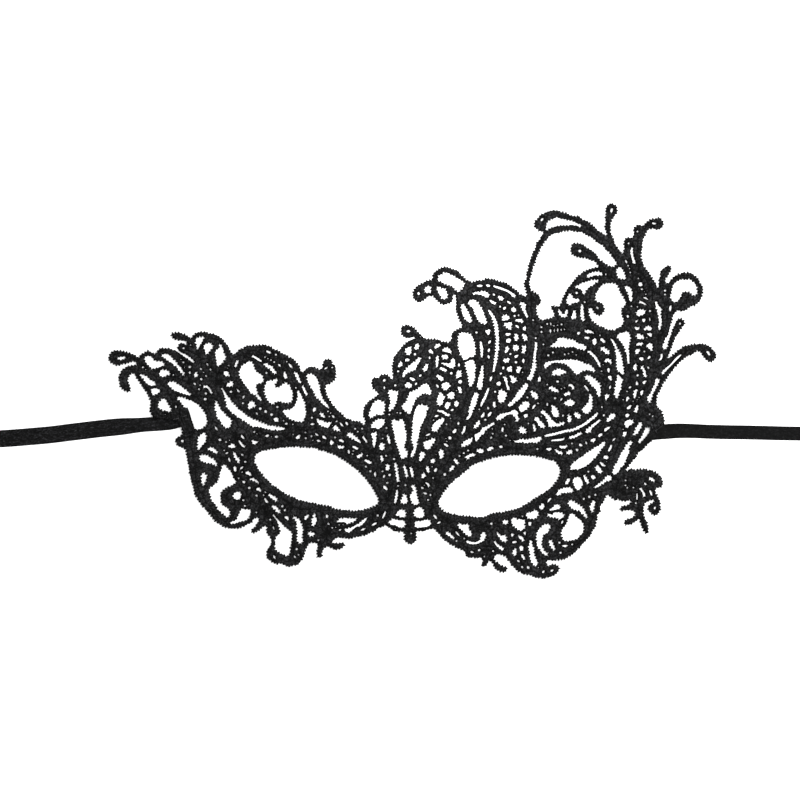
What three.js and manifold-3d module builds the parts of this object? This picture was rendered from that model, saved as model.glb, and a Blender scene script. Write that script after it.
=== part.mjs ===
import * as THREE from 'three';
import { mergeVertices } from 'three/addons/utils/BufferGeometryUtils.js';
import Module from 'manifold-3d';

// Lace masquerade mask lying on its back, with a satin tie sewn to the back of each side.
// Millimetres: +X towards the right tie, +Y towards the crest, +Z out of the face side.
// The origin is the middle of the lace's length and height, on its underside.

// Driving dimensions
const LACE_THICK = 1.3;
const RIM_THICK = 1.8;
const RIM_WIDTH = 2.7;
const TIE_WIDTH = 6.5;
const TIE_THICK = 0.3;
const TIE_LENGTH = 420;
const COIL_RADIUS = 38;
const COIL_PITCH = 6.5;
const TWIST_LENGTH = 24;
const GAP = 0.3;

const POCKET_DEPTH = TIE_THICK + GAP;
const COIL_OUTER = COIL_RADIUS + TIE_THICK / 2;
// The strip stops this far before it would touch the coil's round side
const COIL_ENTRY = Math.sqrt((COIL_OUTER + GAP) ** 2 - (COIL_RADIUS - TIE_THICK / 2) ** 2);
// The first points of each tie's middle line lie under the lace, where the tie is sewn
const SEWN_POINTS = 2;
// How far a cutting shape reaches past what it cuts
const OVERCUT = 1;
const WELD = 1e-4;
const EYE_STEPS = 48;
const TWIST_STEPS = 8;
const COIL_SLICES = 32;

// The lace is an irregular scroll pattern. Each list below is x, y, x, y and so on along one edge,
// read by hand, with straight stretches left to their two ends.
// Left wing, from its tip over the brow to the middle
const EDGE_LEFT_BROW = [
  -127.5, 13.9, -127, 15.4, -124.8, 16.8, -122, 16.9, -116.8, 15.2, -114.9, 14.1, -113.5, 15.6, -111, 16.9,
  -108, 15.5, -105.8, 18, -103.5, 18, -98.9, 16.8, -91.5, 11.5, -91, 12, -93.4, 14.4, -97.3, 16.3, -98.2,
  17.2, -98, 19.6, -96.4, 20.2, -94.4, 19.1, -94.6, 20.2, -95.2, 20.9, -99, 21.6, -100.4, 22.4, -101.2, 24,
  -99.5, 24.6, -96, 24.1, -94, 22.9, -93.2, 21.8, -90.8, 24.3, -88.2, 25, -81, 23, -80, 22.3, -77.3, 19,
  -75.3, 15.3, -72.2, 17.5, -68.5, 19, -62, 19.3, -60, 18.8, -50, 13.4, -47.8, 11.2, -46, 7.8, -44.6, 9.3,
  -42.2, 10.2, -37.8, 9.1, -37.2, 12.4, -36.2, 13.2, -34.4, 13.6, -33.3, 12.5, -33.2, 11.8, -33.9, 11.4,
  -32.5, 10.7, -31.8, 5.8, -33, 4, -35, 2.7, -35.7, 2.8, -36.1, 1.8, -36.3, 0.8, -35.1, -3, -32.9, -6.3,
  -28.2, -10.8, -25.8, -12.2, -22.3, -12.6, -19.8, -14.4, -19.4, -13.4, -20.5, -9.4, -20, -6.5, -18.3,
  -4.4,
];
// Scroll and feather above the nose
const EDGE_CREST = [
  -14.6, -2.1, -14.2, -1.3, -14.5, -0.4, -16.8, 1.5, -16.3, 5.3, -13.7, 5.4, -13.3, 6.5, -11.3, 7.1, -10.3,
  6.8, -8.3, 4.6, -8, 5.2, -8.5, 11, -7.9, 12, -8, 13.2, -3.7, 19.3, -1.8, 20.9, 1.7, 22.4, 1.3, 22.7,
  -1.8, 22.2, -3.9, 23.2, -4.9, 25.2, -3.9, 27.3, -2.6, 27.8, 1.4, 26.4, 4.9, 22.3, 10, 21.8, 15.7, 20.5,
  17, 24.3, 21.2, 27.5, 19.6, 30.3, 18.5, 34.5, 18.5, 38.5, 17.8, 41, 16.5, 37.2, 15.5, 36.6, 12.6, 36.5,
  10.8, 37.6, 9.4, 39.5, 7, 39.9, 4, 37.5, 2.9, 37.5, 0.9, 38.3, 0.1, 41, 1.4, 43.3, 2.6, 44.4, 7.2, 46.6,
  8.3, 46.7, 9, 49, 10.4, 50.9, 14.3, 52.1, 18.6, 50.7, 20.6, 49.2, 22.5, 46.9,
];
// Arch over the right brow
const EDGE_ARCH = [
  25.3, 45.8, 31.5, 47.2, 36, 46.5, 41.4, 44.3, 45.2, 40.9, 48, 39.8, 47.2, 45.3, 48.2, 47.3, 47.9, 48.4,
  49.6, 54.6, 52.6, 62.3, 55.5, 66.7, 54.9, 67.2, 53.2, 67.3, 51.8, 68.6, 51.2, 70.4, 52.5, 72.3, 55.2,
  74.7, 57.5, 75.5, 62.2, 75.5, 68.5, 73.4, 70, 73.8, 70.2, 73, 74.9, 70.5, 78.6, 67, 81.7, 65.2, 81.9, 66,
  80.9, 69, 81.3, 69.7, 81.3, 76.5, 82.1, 78.1, 84.7, 78.7, 86.2, 77.2, 86.3, 76, 86.1, 74.9, 84.1, 72.3,
  83.3, 68, 85.3, 61.8, 88.1, 57.8, 88.8, 57.8, 89, 58.8, 89.1, 63.3, 90.6, 64.6, 92.3, 64.2, 92.8, 64.5,
  93.3, 66, 93.2, 68, 94.2, 69.4, 95, 69.7, 97, 69.3,
];
// Right fan, down to the right tie
const EDGE_RIGHT_FAN = [
  100.3, 72.2, 103, 72.4, 103.5, 72.9, 105.2, 71.7, 105.6, 70.4, 105.1, 69, 104, 67.9, 102, 68, 101.2, 68.5,
  98.8, 67.3, 97, 63, 96.3, 58.5, 96.4, 55.5, 98, 51.5, 100, 49.2, 103.3, 43.1, 103.8, 43, 103.9, 43.6,
  103.6, 44.3, 104.4, 50, 105.2, 51.1, 108.1, 52.8, 109.1, 52, 108.9, 51, 106.2, 46.4, 106.3, 45.2, 107.6,
  45, 109, 47, 111.8, 49, 115.3, 49.8, 117, 49.5, 119.8, 47.7, 122.1, 43.3, 122.2, 41.7, 120.7, 37.6,
  118.7, 35.9, 117.2, 35.8, 114.8, 33.7, 111.3, 34, 110.5, 33.4, 108.6, 28.1, 107.5, 23.2, 106.1, 21.4,
  105.1, 18.6, 105.8, 17.3, 106.9, 17.9, 107.9, 20.2, 108.1, 22.2, 111.4, 29.9, 113.2, 30.4, 114.4, 29.4,
  114.6, 28.6, 110.8, 22.8, 107.2, 13.8, 107.7, 13.6, 114, 18.6, 118.6, 19.8, 119.8, 19.4, 120.4, 19.9,
  121, 19.6, 122.1, 20, 123.6, 19.6, 126.2, 17.6, 127.9, 15, 126.2, 12.3, 124.9, 12.2, 122.6, 14.2, 121.2,
  16.8, 119.5, 16.8, 117.6, 15.3, 116, 15.1, 110.4, 9.9, 105.1, 2.2, 103, -2,
];
// Scrolls below the right tie
const EDGE_RIGHT_SCROLLS = [
  102.6, -4, 103, -7, 103.8, -7, 104.3, -8.3, 104.9, -8.1, 105.7, -13.1, 102.5, -16.3, 100.3, -20.9, 94.1,
  -27, 93.9, -28, 89.5, -33.2, 90.1, -33.6, 91.5, -32.8, 94, -33.1, 96, -32.7, 100.3, -33.3, 102.8, -34.2,
  105, -36.6, 105.4, -38, 105.2, -39.5, 104.2, -40.4, 102.3, -41, 102.1, -41.7, 104.2, -47, 104.4, -49.5,
  103.8, -51.2, 103.3, -51.9, 100.9, -52, 99.2, -49.3, 100.3, -47.2, 101.8, -46.7, 101.9, -45.9,
];
// Lower edge under the right cheek
const EDGE_RIGHT_HEM = [
  100.3, -45.8, 97.8, -47.2, 97.3, -48, 97.4, -52.5, 99, -56.2, 99.2, -59, 98.6, -59.7, 97.5, -59, 95.2,
  -52.9, 95, -53.8, 93.8, -54.9, 90.1, -56.5, 89.4, -56.4, 89.1, -54.9, 93.6, -52.4, 93.7, -50.8, 92,
  -50.1, 87.8, -50.1, 87.5, -48.9, 88, -48.3, 91, -47.7, 91.7, -47.1, 91.9, -45.9, 91, -45.6, 90.3, -46,
  87.1, -46.1, 86.5, -44.6, 86.1, -45.8, 85.5, -45.9, 83, -44, 81.7, -43.7, 81.2, -44.3, 81.3, -45.1, 79,
  -48.5, 78.9, -50.6, 78.1, -52, 77.2, -56, 76.7, -57.4, 75.5, -58.5, 75.6, -59.3, 74.8, -60.6, 68.2, -68,
  66.8, -69,
];
// Lower edge from the right cheek over the nose
const EDGE_NOSE = [
  62.5, -70.8, 56.6, -71.2, 56.7, -73.8, 57.3, -73.8, 58.5, -72.7, 60.3, -72.7, 61.6, -73.7, 61.9, -75.2,
  59.7, -77.4, 55.5, -78.6, 52.2, -78.2, 50, -77.2, 48, -77.2, 45.5, -76.2, 42.8, -74.1, 39.2, -69.4, 36.2,
  -68.3, 35.2, -68.7, 34.4, -70.1, 36.6, -72.7, 39.9, -74.2, 40.2, -74.8, 39.5, -75.9, 37.3, -75.9, 35.1,
  -74.6, 32.8, -71.2, 30.7, -73.5, 29.1, -73.5, 29.8, -70.8, 28.8, -69.7, 26, -70.1, 23.3, -69.6, 22.4,
  -69, 22.4, -67.4, 16.6, -64.5, 12.3, -61, 9.6, -58.1, 6.5, -58, 4.8, -58.7, 2.2, -58.6, 1.6, -59.3, 2,
  -61, 1.5, -62.6, 0.2, -64.2, -1.3, -64.2, -3, -62.8, -3.1, -60.4, -4, -58.8, -5.7, -59.2, -6.2, -58.7,
  -7.9, -58.5, -9, -57.2, -9.9, -57.2, -11.3, -56.3,
];
// Lower edge under the left cheek
const EDGE_LEFT_HEM = [
  -14.3, -57.5, -16.5, -59.2, -23, -61.3, -27, -61.9, -31.3, -61.5, -33.8, -63.5, -33.3, -63.9, -29.3,
  -63.9, -28.5, -64.2, -28.4, -64.9, -31, -66.6, -32.2, -66.6, -35.8, -65.1, -36.6, -65.5, -37.4, -66.8,
  -37.9, -69.6, -39.8, -69.6, -40.1, -68.3, -39.5, -64.2, -42, -63.5, -43.8, -64.7, -45.8, -70, -48, -72.8,
];
// Left side, past the left tie and back to the tip
const EDGE_LEFT_SIDE = [
  -52.6, -73.6, -54.5, -72.6, -58, -72.4, -61.2, -69, -59, -63.8, -59.1, -62.2, -60.7, -59.8, -61.1, -57,
  -61.8, -56.5, -62.6, -56.8, -63.2, -57.8, -66.3, -59.8, -67.2, -59.6, -67.6, -58.8, -64.1, -54.8, -64,
  -53.8, -64.6, -52.9, -66.4, -53.3, -66.7, -54.3, -68.5, -55.8, -73, -57.5, -77.3, -57.5, -80.5, -56.2,
  -83, -54.2, -90.6, -44.3, -93, -35.5, -95.1, -24.5, -96, -23.6, -97.5, -23.4, -98.9, -22.3, -99.3, -21,
  -98.9, -19.8, -96.4, -17.8, -97.6, -14.2, -98.6, -12.8, -100.6, -12.1, -107.4, -11.4, -108.6, -10.8,
  -109.9, -8.2, -109.6, -5.2, -110.6, -2.2, -116.7, 7.2, -117.5, 7.6, -118.4, 7.2, -119.4, 5, -118.2, -0.1,
  -120.4, 0, -122.1, 1.3, -123, 3.5, -123.1, 5.2, -122.2, 8, -119.2, 10.3, -116.2, 10.8, -115.5, 11.3,
  -116.2, 12, -117.2, 12.5, -124.3, 10.8, -127.2, 12.5,
];
// Left eye hole
const LEFT_EYE = [
  -66.1, -29.5, -66.1, -27.5, -65, -26.5, -63, -25.2, -59, -24.3, -52, -23.5, -43, -23.7, -39.2, -24.5,
  -30.8, -27.6, -23.2, -33, -19.5, -36.8, -16.3, -41, -14.1, -45.5, -14.1, -46.8, -17.6, -49.2, -21, -50,
  -27, -50.1, -31, -49.6, -35.2, -48.3, -45, -46.4, -50.6, -44.3, -57.5, -40.2, -64.8, -32.5,
];
// Right eye hole
const RIGHT_EYE = [
  23, -33.2, 25.4, -31.2, 28.6, -29.8, 35.3, -27.8, 43, -26.9, 52.3, -27.5, 57.8, -28.9, 60, -29.7, 62.4,
  -32.7, 61.8, -35.7, 60, -38.5, 55.9, -42.7, 52, -44.8, 51.2, -46, 50, -46.2, 45.9, -48.8, 42.7, -50,
  34.2, -51.5, 31, -52.7, 24, -52.7, 17, -51.7, 15, -51.2, 11.3, -48.2, 11.8, -45, 15, -40.2,
];
// Openings of the left wing tip
const OPEN_LEFT_END = [
  [-112.6, 13.6, -112, 14.6, -110.2, 14.9, -108.3, 13.3, -103.6, 11.5, -108.7, 9.2, -112.4, 12.7],
  [-105.4, 15.2, -104.6, 15.6, -101.9, 15.2, -97.1, 9.8, -95.3, 7.4, -95.3, 6.4, -96, 6.3, -99, 10.1, -102,
   12.5, -105.1, 14.2],
  [-106, 8, -104.5, 9.3, -102, 8.3, -101.2, 7.6, -101.3, 6.9, -105, 5.8, -106, 6],
  [-103, 3.7, -100.5, 4.1, -99, 3.5, -94.5, 0.2, -92.8, -1.8, -100.3, 0.4],
  [-114.4, 7.2, -113.3, 7.1, -110.2, 5.4, -109, 4.2, -108, 4, -107.5, 2.2, -110.8, 2.6],
  [-109.5, 0.6, -108.2, 1.4, -106.3, 0.9, -105, -0.2, -107, -1, -108.4, -2.3, -109, -1.8],
  [-105, -3.2, -103.8, -3.3, -102.7, -4.3, -100.9, -8.4, -101.8, -9, -106.4, -7.3, -106.5, -4.9],
  [-98.8, -2.2, -94, -3.4, -88.5, -6.8, -85.8, -13.8, -90, -16.5, -91.6, -15.2, -94.6, -7.7, -95.5, -7.2],
  [-90.9, 20.2, -90.9, 21.8, -90.2, 22.7, -87.2, 22.6, -90.1, 17.3],
  [-87.7, 18.6, -87.2, 19.6, -84.6, 20.6, -83.8, 19.9, -83.5, 18.8, -86, 15.2, -86.9, 15.9, -87, 17.3],
  [-89.7, -19.3, -87, -17.3, -86.3, -17.9, -86.2, -19.2, -86.4, -21, -89.6, -25, -90.1, -24.2],
  [-89.5, -28, -88.9, -27, -87.6, -26.4, -86.2, -26.7, -83.7, -28.2, -81.4, -31.2, -82, -31.9, -84, -30.7,
   -87, -30.2, -89.2, -28.8],
  [-88.6, -35.2, -88.1, -34.4, -87.3, -34.2, -86.4, -34.8, -86, -35.8, -87.2, -39.8, -87.9, -39.8, -88.3,
   -38.5],
];
// Openings above the left eye
const OPEN_LEFT_BROW = [
  [-81.1, 20.2, -79.6, 18.7, -78.2, 14, -78.8, 12.7, -81.4, 10.2, -81.9, 10.5, -82.7, 16.8, -81, 18],
  [-68.3, 12.8, -67.3, 12.2, -65, 8, -63.5, 7.3, -62.1, 4.8, -62.3, 3.8, -65, 3.1, -65.4, 1.8, -64.7, -1,
   -62.8, -4.2, -63.4, -4.2, -65.4, -2.6, -65.7, -1.8, -68, -0.4, -71.8, 5, -72.3, 6.5, -72.5, 8, -72, 9.6,
   -71.2, 10.8],
  [-62.5, 11.5, -61.7, 11.8, -58.5, 10.2, -56.7, 7.8, -56.7, 7, -57.5, 6.8, -58.3, 7.3, -60, 9.5, -62,
   10.4],
  [-82.7, -4.2, -82, -4, -80, -8, -75.7, -12.2, -76.2, -15.2, -77, -15.8, -78.2, -15.7, -81.2, -11.8, -82.7,
   -7.5],
  [-80.1, 1.6, -75.2, -4.8, -69.7, -9.9, -63, -13.2, -59, -14.5, -53.5, -15.4, -52.6, -16, -59, -16.6,
   -63.5, -15.3, -66.5, -15, -68, -14.2, -75.8, -9.1, -77, -7.7, -78, -6, -79.1, -0.7],
  [-44.2, 5.5, -44.1, 6.8, -43.2, 7.3, -42.2, 7.3, -40.5, 6.3, -39.3, 4, -37.7, -2.2, -35.2, -6.3, -34.7,
   -7.3, -35, -7.6, -38.9, -4, -40.6, -1.8, -41.7, 0.6, -43.5, 2.9],
  [-48.1, 0.9, -45.6, -3.3, -44.5, -7, -44.7, -11, -46, -12.9, -50.3, -12.3, -53.3, -10, -54, -8, -50.5,
   -7.3, -48.8, -5, -48.1, -1.8],
  [-61, 4.3, -59, 4.5, -57, 5.4, -56.4, 4.9, -56.3, 4, -57.5, 2.7, -57.2, 1.9, -56.5, 1.6, -55.5, 1.8, -54,
   3, -53.6, 3.9, -51.6, 2.6, -50.3, 0.3, -49.9, -2.3, -50.8, -4.5, -51.8, -5.3, -56.3, -4.3, -58.8, -5.8,
   -61, -3, -62.1, -0.3],
  [-40.1, -12.1, -39.7, -11.4, -38.6, -12.4, -37.5, -12, -37, -12.7, -34.8, -13.1, -33.6, -12.8, -33.4,
   -13.4, -34.2, -13.9, -34.3, -14.8, -35.2, -15.3, -37.3, -15.2, -38.4, -14.8],
  [-16.6, -5.7, -14.2, -3.6, -11.4, -5.2, -12.2, -10.1, -14.7, -10.1, -16.9, -11.7, -17.5, -11.5, -17.9,
   -9.3],
  [-68.2, -4.1, -66.9, -4.1, -65.5, -5.7, -65.8, -7, -66.6, -6.7, -67.5, -7.8, -68.8, -7.6, -69, -7],
];
// Openings below the left eye
const OPEN_LEFT_CHEEK = [
  [-79, -30.7, -73.8, -38.6, -78.3, -40.8, -80.1, -43.3, -79.9, -46.7, -78.3, -48.6, -77.3, -48.7, -76.6,
   -49.7, -76.2, -51.2, -77.1, -53.3, -80.5, -50.8, -82.5, -48.2, -84.4, -45.3, -85.3, -42, -84.9, -40.6,
   -81.7, -38.2],
  [-75.1, -44, -74.6, -42.9, -73.7, -42.3, -72.5, -42.3, -71.6, -43.1, -71.8, -45, -72.8, -45.9, -73.5,
   -45.3, -74.7, -45.4],
  [-72.2, -50.2, -71.5, -49.3, -70.7, -49.1, -69.8, -49.6, -68, -49.5, -67.6, -50.5, -68.6, -53.7, -72.5,
   -55.3, -76.7, -55.5, -73.4, -53.4],
  [-52, -69.2, -55, -68.4, -57.2, -66.7, -57.3, -62, -55.6, -59.5, -55.4, -58.2, -56.6, -54.6, -58.8, -51.6,
   -58.3, -51.6, -56.6, -53.8, -51.2, -58.6, -50.5, -60, -50.3, -63, -51.2, -66, -51.1, -67.5],
  [-27.4, -18, -26.9, -17.3, -26, -17.1, -22.9, -19.6, -21.1, -22, -25.8, -19.7],
  [-17, -17.2, -16.2, -17.5, -15, -16.7, -14.6, -18, -15.9, -24.1],
  [-49.8, -52.4, -48.4, -52.8, -46.8, -54.6, -45.7, -59, -46.1, -62, -45.6, -63, -46, -64, -46.9, -64.4,
   -47.8, -64, -48.3, -62.5, -48.4, -55.5, -48.7, -54.4, -49.4, -54.2, -49.8, -53.4],
  [-41.2, -51.3, -40.6, -51.3, -39.8, -54, -40, -55.2, -41.7, -57.1, -42.3, -56.3, -42.3, -55.1],
  [-31, -54, -30.7, -53.2, -30, -53, -29.2, -53.4, -28.4, -52.9, -27.5, -53.3, -26.3, -53, -23.8, -53.6,
   -23, -53.1, -22.7, -53.4, -24.2, -54.8, -27.5, -55.9, -28.2, -55.3, -31.6, -55.2],
  [-28.8, -58, -24.6, -57, -19, -53, -18.6, -53.3, -20.8, -55.9, -22.5, -57, -23.4, -56.9, -26, -59.2,
   -27.2, -59.3],
];
// Openings of the scroll and feather
const OPEN_CREST = [
  [-9.8, 0.3, -6, -0.1, -5.8, -1, -7.1, -6, -9.3, -8.8, -9.8, -8.3, -9.1, -4],
  [-4.2, -6.6, -2.2, -4.2, -1.8, -1.8, -1.1, -1.4, -1.2, -0.5, 1, 0.1, 5.2, 3.3, 7.1, 2.5, 8.2, -1.4, 6.1,
   -1.6, 5.5, -1, 2.8, -2.2, 0.8, -5.3, -0.6, -9.9, -1.2, -10.2, -1.8, -9.8, -1.9, -9],
  [10.6, -5.6, 11.2, -0.8, 11.9, -0.2, 13.2, -1.4, 13.8, -3, 13.2, -3.6, 13.3, -4.8, 12, -6.3],
  [-4.1, 5.3, -3.6, 5.2, -2.4, 7.2, 0, 8.1, 2, 10, 3.7, 13.8, 3.3, 14.3, -3.5, 8.4],
  [12.3, 12, 15.3, 11.5, 16.1, 12, 16.8, 13.7, 17.8, 13.7, 18.3, 11.2, 17.2, 9.4, 13, 11.2],
  [12.2, 2.7, 14.4, 3.9, 15.2, 3.5, 16.1, 2.1, 13.9, 0],
  [10.8, 46.5, 10.9, 47.8, 11.6, 48.7, 13.8, 49.9, 14.6, 49.8, 20.2, 46.9, 22, 45.4, 21.9, 44.3, 21.5, 43.4,
   19.4, 41.5, 17.2, 43.5],
  [10.3, 43.2, 11.2, 43.9, 12.2, 43.2, 13, 43.4, 14.4, 42.8, 14.8, 39.4, 14.3, 38.7, 12.5, 39],
  [20.4, 36, 21, 36.6, 21.7, 36.4, 23, 34.5, 24.4, 31.8, 25.2, 28.4, 22.6, 29.8, 21.3, 32],
  [23.2, 37.7, 24, 38.3, 27, 38.1, 29.7, 34, 31.9, 28.2, 31.4, 27.9, 29.4, 28.5, 27.6, 29.5, 25.6, 34.6],
  [19.3, 21.5, 19.8, 24.1, 20.7, 24.7, 23.8, 24.3, 25, 23.5, 26.5, 19.6, 26.7, 15.2, 26.2, 14.5, 25.2, 14,
   24, 14.2, 23.5, 13.3, 22.5, 13, 21.6, 13.3, 19.8, 16.4],
  [22.2, 11.9, 25.2, 13.3, 26.2, 13, 26.7, 8.6, 25.9, 4, 24.7, 1.6, 24, 1.5, 23.1, 8.5],
  [25.2, 40.9, 27.5, 41.8, 31.3, 41.7, 32.3, 41.1, 32.7, 40.2, 31.5, 39.2, 29, 40.4, 28, 40.3, 27.2, 40.8,
   25.4, 40.4],
  [31.8, 34.5, 33.2, 33.4, 35.2, 30.2, 36.4, 24.5, 36.5, 17.2, 34.4, 7.8, 34, 8.2, 35.2, 19, 35.2, 23, 33.9,
   29.8],
  [29.4, 11, 29.9, 10.8, 30, 9.4, 29.7, 2, 28.5, 0.4, 27.3, 1.8],
  [38.5, 28.4, 38.8, 29, 39.5, 28.6, 41.8, 29.2, 42.1, 28.3, 41.8, 27.3, 42.3, 26.6, 40.6, 25.5, 40.4, 26.2,
   38.7, 27.3],
  [52, 20.9, 52.6, 18.6, 52.1, 15.8, 52, 9.5, 50, 4.3, 48.7, 4.5, 48.1, 5, 48.7, 5.6, 50.4, 10.2],
  [26.7, -0.3, 27.9, -1.1, 27.6, -3.5, 24.8, -10.5, 22.8, -12.5, 22.9, -11.5, 23.9, -10, 23.9, -8, 23.4,
   -7.6, 24.2, -7, 24.1, -6.2],
  [36.2, 0.2, 38, 0.6, 39.9, -1.1, 38.8, -3.9, 37, -5.3, 35.9, -3, 35.8, -2.2, 36.5, -1.3],
  [48, 3.5, 49, 2.3, 46.1, -2.3, 42.2, -5.9, 39.9, -6.9, 41, -4.9, 41.7, -4.6, 45, 0.2],
  [48, -4.1, 49.2, -4.9, 49.6, -5.6, 49.4, -6.4, 47, -8.7, 45.3, -8.7, 44.8, -7, 45.8, -5.6],
  [58.1, -5.9, 60.5, -6.8, 61.6, -7.9, 61.9, -10.2, 60.8, -11.3, 59.5, -10.6, 58.1, -8.3, 58.9, -7.1],
  [58.7, 6.6, 58.9, 7.9, 60.6, 9.3, 62.7, 9.2, 65, 8, 61.5, 6.4, 60.7, 6.8],
];
// Openings around and below the right eye
const OPEN_RIGHT_CHEEK = [
  [-17.2, -14.3, -15, -12, -14, -11.7, -11.8, -11.9, -11.3, -12.6, -11.2, -13.5, -14.3, -16.3, -15.6, -15.5,
   -16.4, -15.8, -17.2, -15.2],
  [-8.5, -12.2, -5.6, -12.4, -5.2, -11.8, -4.3, -11.6, -3.1, -13.6, -2.2, -21, -3.2, -23.3, -1.6, -26.6,
   -4.1, -29, -4.7, -28.4, -6.8, -21],
  [2.5, -5.9, 4.7, -5.6, 5.2, -6.2, 6, -5.8, 7.3, -7.6, 6.4, -7.9, 6.1, -10.7, 5.3, -11.3, 4.9, -13.1, 4.1,
   -14, 1.1, -27, 0.2, -28.4, -0.8, -27, 0.6, -24.7, 0.8, -23.3, -0.4, -20, 0, -19, 0.2, -13.5, 1.2, -8.2],
  [-7.4, -30.2, -7, -29.7, -6.5, -30.3, -5.8, -33, -5.2, -37.5, -5.6, -38.4, -6.3, -38.3],
  [-3.7, -42.9, -3.2, -42.8, -2.6, -43.5, -1.7, -46.6, -4.4, -47.5, -4.6, -46.4],
  [-0.3, -39.1, 1, -39.2, 3.1, -46.3, 3, -47.3, 1.1, -48, -0.3, -46.6, -1, -44.2, -0.8, -43.3, 0.5, -42.2],
  [-6.8, -52.4, -6, -50.6, -4.2, -49.3, -2.4, -51.5, -2.8, -53.4, -3.3, -53.6, -3.8, -53, -4.9, -53.3, -5.5,
   -52.6],
  [0.8, -51.6, 1.2, -49.6, 3, -48.6, 4, -48.7, 5.4, -51.5, 4.6, -53.1, 3.2, -53.5, 1.4, -52.9],
  [-10.1, -55.2, -7.8, -53.3, -7.2, -53.9, -6.2, -53.6, -5.5, -54.2, -3.9, -54, -3, -54.6, -2.7, -56.4,
   -3.9, -57.7, -5, -57.6, -7.8, -56.3, -8.7, -56.4],
  [1.1, -55, 1.8, -54.3, 2.8, -54.6, 7, -53.7, 7.9, -55.8, 6.6, -57.1, 1.9, -57.4],
  [4.8, -23, 5.5, -20.9, 6.9, -20.7, 9.4, -19.3, 9.9, -19.8, 9.9, -20.8, 7.8, -23.9, 6.2, -24.7, 5.3,
   -24.2],
  [8.2, -14.8, 10.5, -12.3, 12.9, -11.2, 13.6, -11.4, 13.5, -12.6, 11.5, -15.2, 11.2, -16.4, 9.5, -17.5,
   8.2, -16],
  [34.8, -13, 34.7, -13.7, 30.5, -17.1, 30.6, -17.8, 29.4, -18.4, 26.7, -21.7, 26.3, -21.6, 26.6, -20.6,
   26.1, -18.6, 28.6, -17.1, 29.5, -15.7],
  [20.8, -23.4, 20.7, -22.6, 21.4, -21.5, 25.7, -19.4, 24.5, -22.3],
  [35, -11.9, 36.9, -12.1, 40.7, -9.7, 42.3, -9.9, 43.6, -11.1, 43.4, -12.7, 43.9, -13, 45.1, -12.1, 45.2,
   -11.4, 44.3, -10.5, 44.8, -9.2, 44, -8, 42.4, -7.9, 41.4, -8.8, 37.5, -9.4, 35.3, -11.1],
  [45, -14.9, 45.9, -14.6, 47.4, -15.3, 48.4, -17.7, 45.8, -17.9, 45, -16.5],
  [52, -10.5, 53.5, -11.1, 54.1, -12.4, 55.1, -12.9, 56, -14.7, 55.9, -15.5, 55.4, -15.8, 53.7, -14.8, 51.5,
   -11.8],
  [54.9, -7.7, 57, -9.7, 57.8, -9.9, 58.4, -11.2, 61, -13.6, 61.6, -13.9, 62.6, -12.9, 64, -12.7, 64.3,
   -13.3, 63.2, -14.5, 59, -15, 58.4, -15.5, 57.2, -14.5, 57.3, -13.7, 56.7, -13.2, 56.4, -11.6, 55, -9.9,
   53.9, -9.3],
  [42, -20.6, 43.6, -21, 45.5, -20.3, 51, -19.8, 51.7, -19.2, 54.3, -19.2, 54.6, -19.7, 54.4, -20.5, 53,
   -21.7, 43.8, -21.5],
  [51.3, -49.7, 52.8, -50.1, 53.4, -51.6, 52, -53.4, 49.2, -53.8, 47.8, -52.3, 48.9, -50.4, 50, -50.8],
  [42.2, -53.4, 43.8, -53.3, 44.4, -53.8, 45.8, -53.5, 47.6, -54.8, 47.4, -56, 47.9, -57.2, 46.9, -58, 46.8,
   -58.7, 43.3, -57.5, 41.8, -54.7],
  [50, -61.9, 51.6, -68, 51.5, -69, 53, -72.7, 51.5, -74, 50, -71, 49, -66],
  [56.5, -55.5, 58, -56.3, 58.3, -57.6, 57.8, -57.9, 57.3, -59.6, 55.2, -60.7, 54.6, -64.3, 55.6, -66.8,
   57.4, -68.3, 57, -69.2, 55.6, -68.7, 53.5, -66.6, 52.2, -62.8, 52.4, -60.2, 53.1, -58.2],
  [57.6, -62.4, 58.2, -62.2, 59.2, -63.3, 60.4, -67.3, 59.8, -67.6, 57.3, -63.9],
  [19.6, -57.2, 19.3, -56.4, 20, -55, 20.4, -55.7, 23.8, -56, 24, -58.4, 25, -59.4, 25.2, -60.9, 24.8,
   -61.3, 23.3, -60.8],
  [30, -59, 31, -60, 31.2, -61.8, 29.2, -63.5, 25.8, -64.4, 22.4, -63.4, 22.3, -63, 23, -62.6, 25.3, -63.4,
   27.4, -63.3, 28.7, -62.3, 29.3, -59.8],
  [35.9, -58.5, 36.4, -59.9, 38.2, -60.7, 38.8, -60.2, 39.9, -61.3, 39.6, -63.4, 38, -63.1, 36.9, -62, 35.7,
   -60.1],
  [56.6, -52.5, 57.3, -51.4, 58.9, -51.7, 59.7, -50.8, 62, -50.8, 63.4, -51.4, 64.2, -52.5, 61.7, -54.3, 61,
   -53.4],
];
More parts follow.
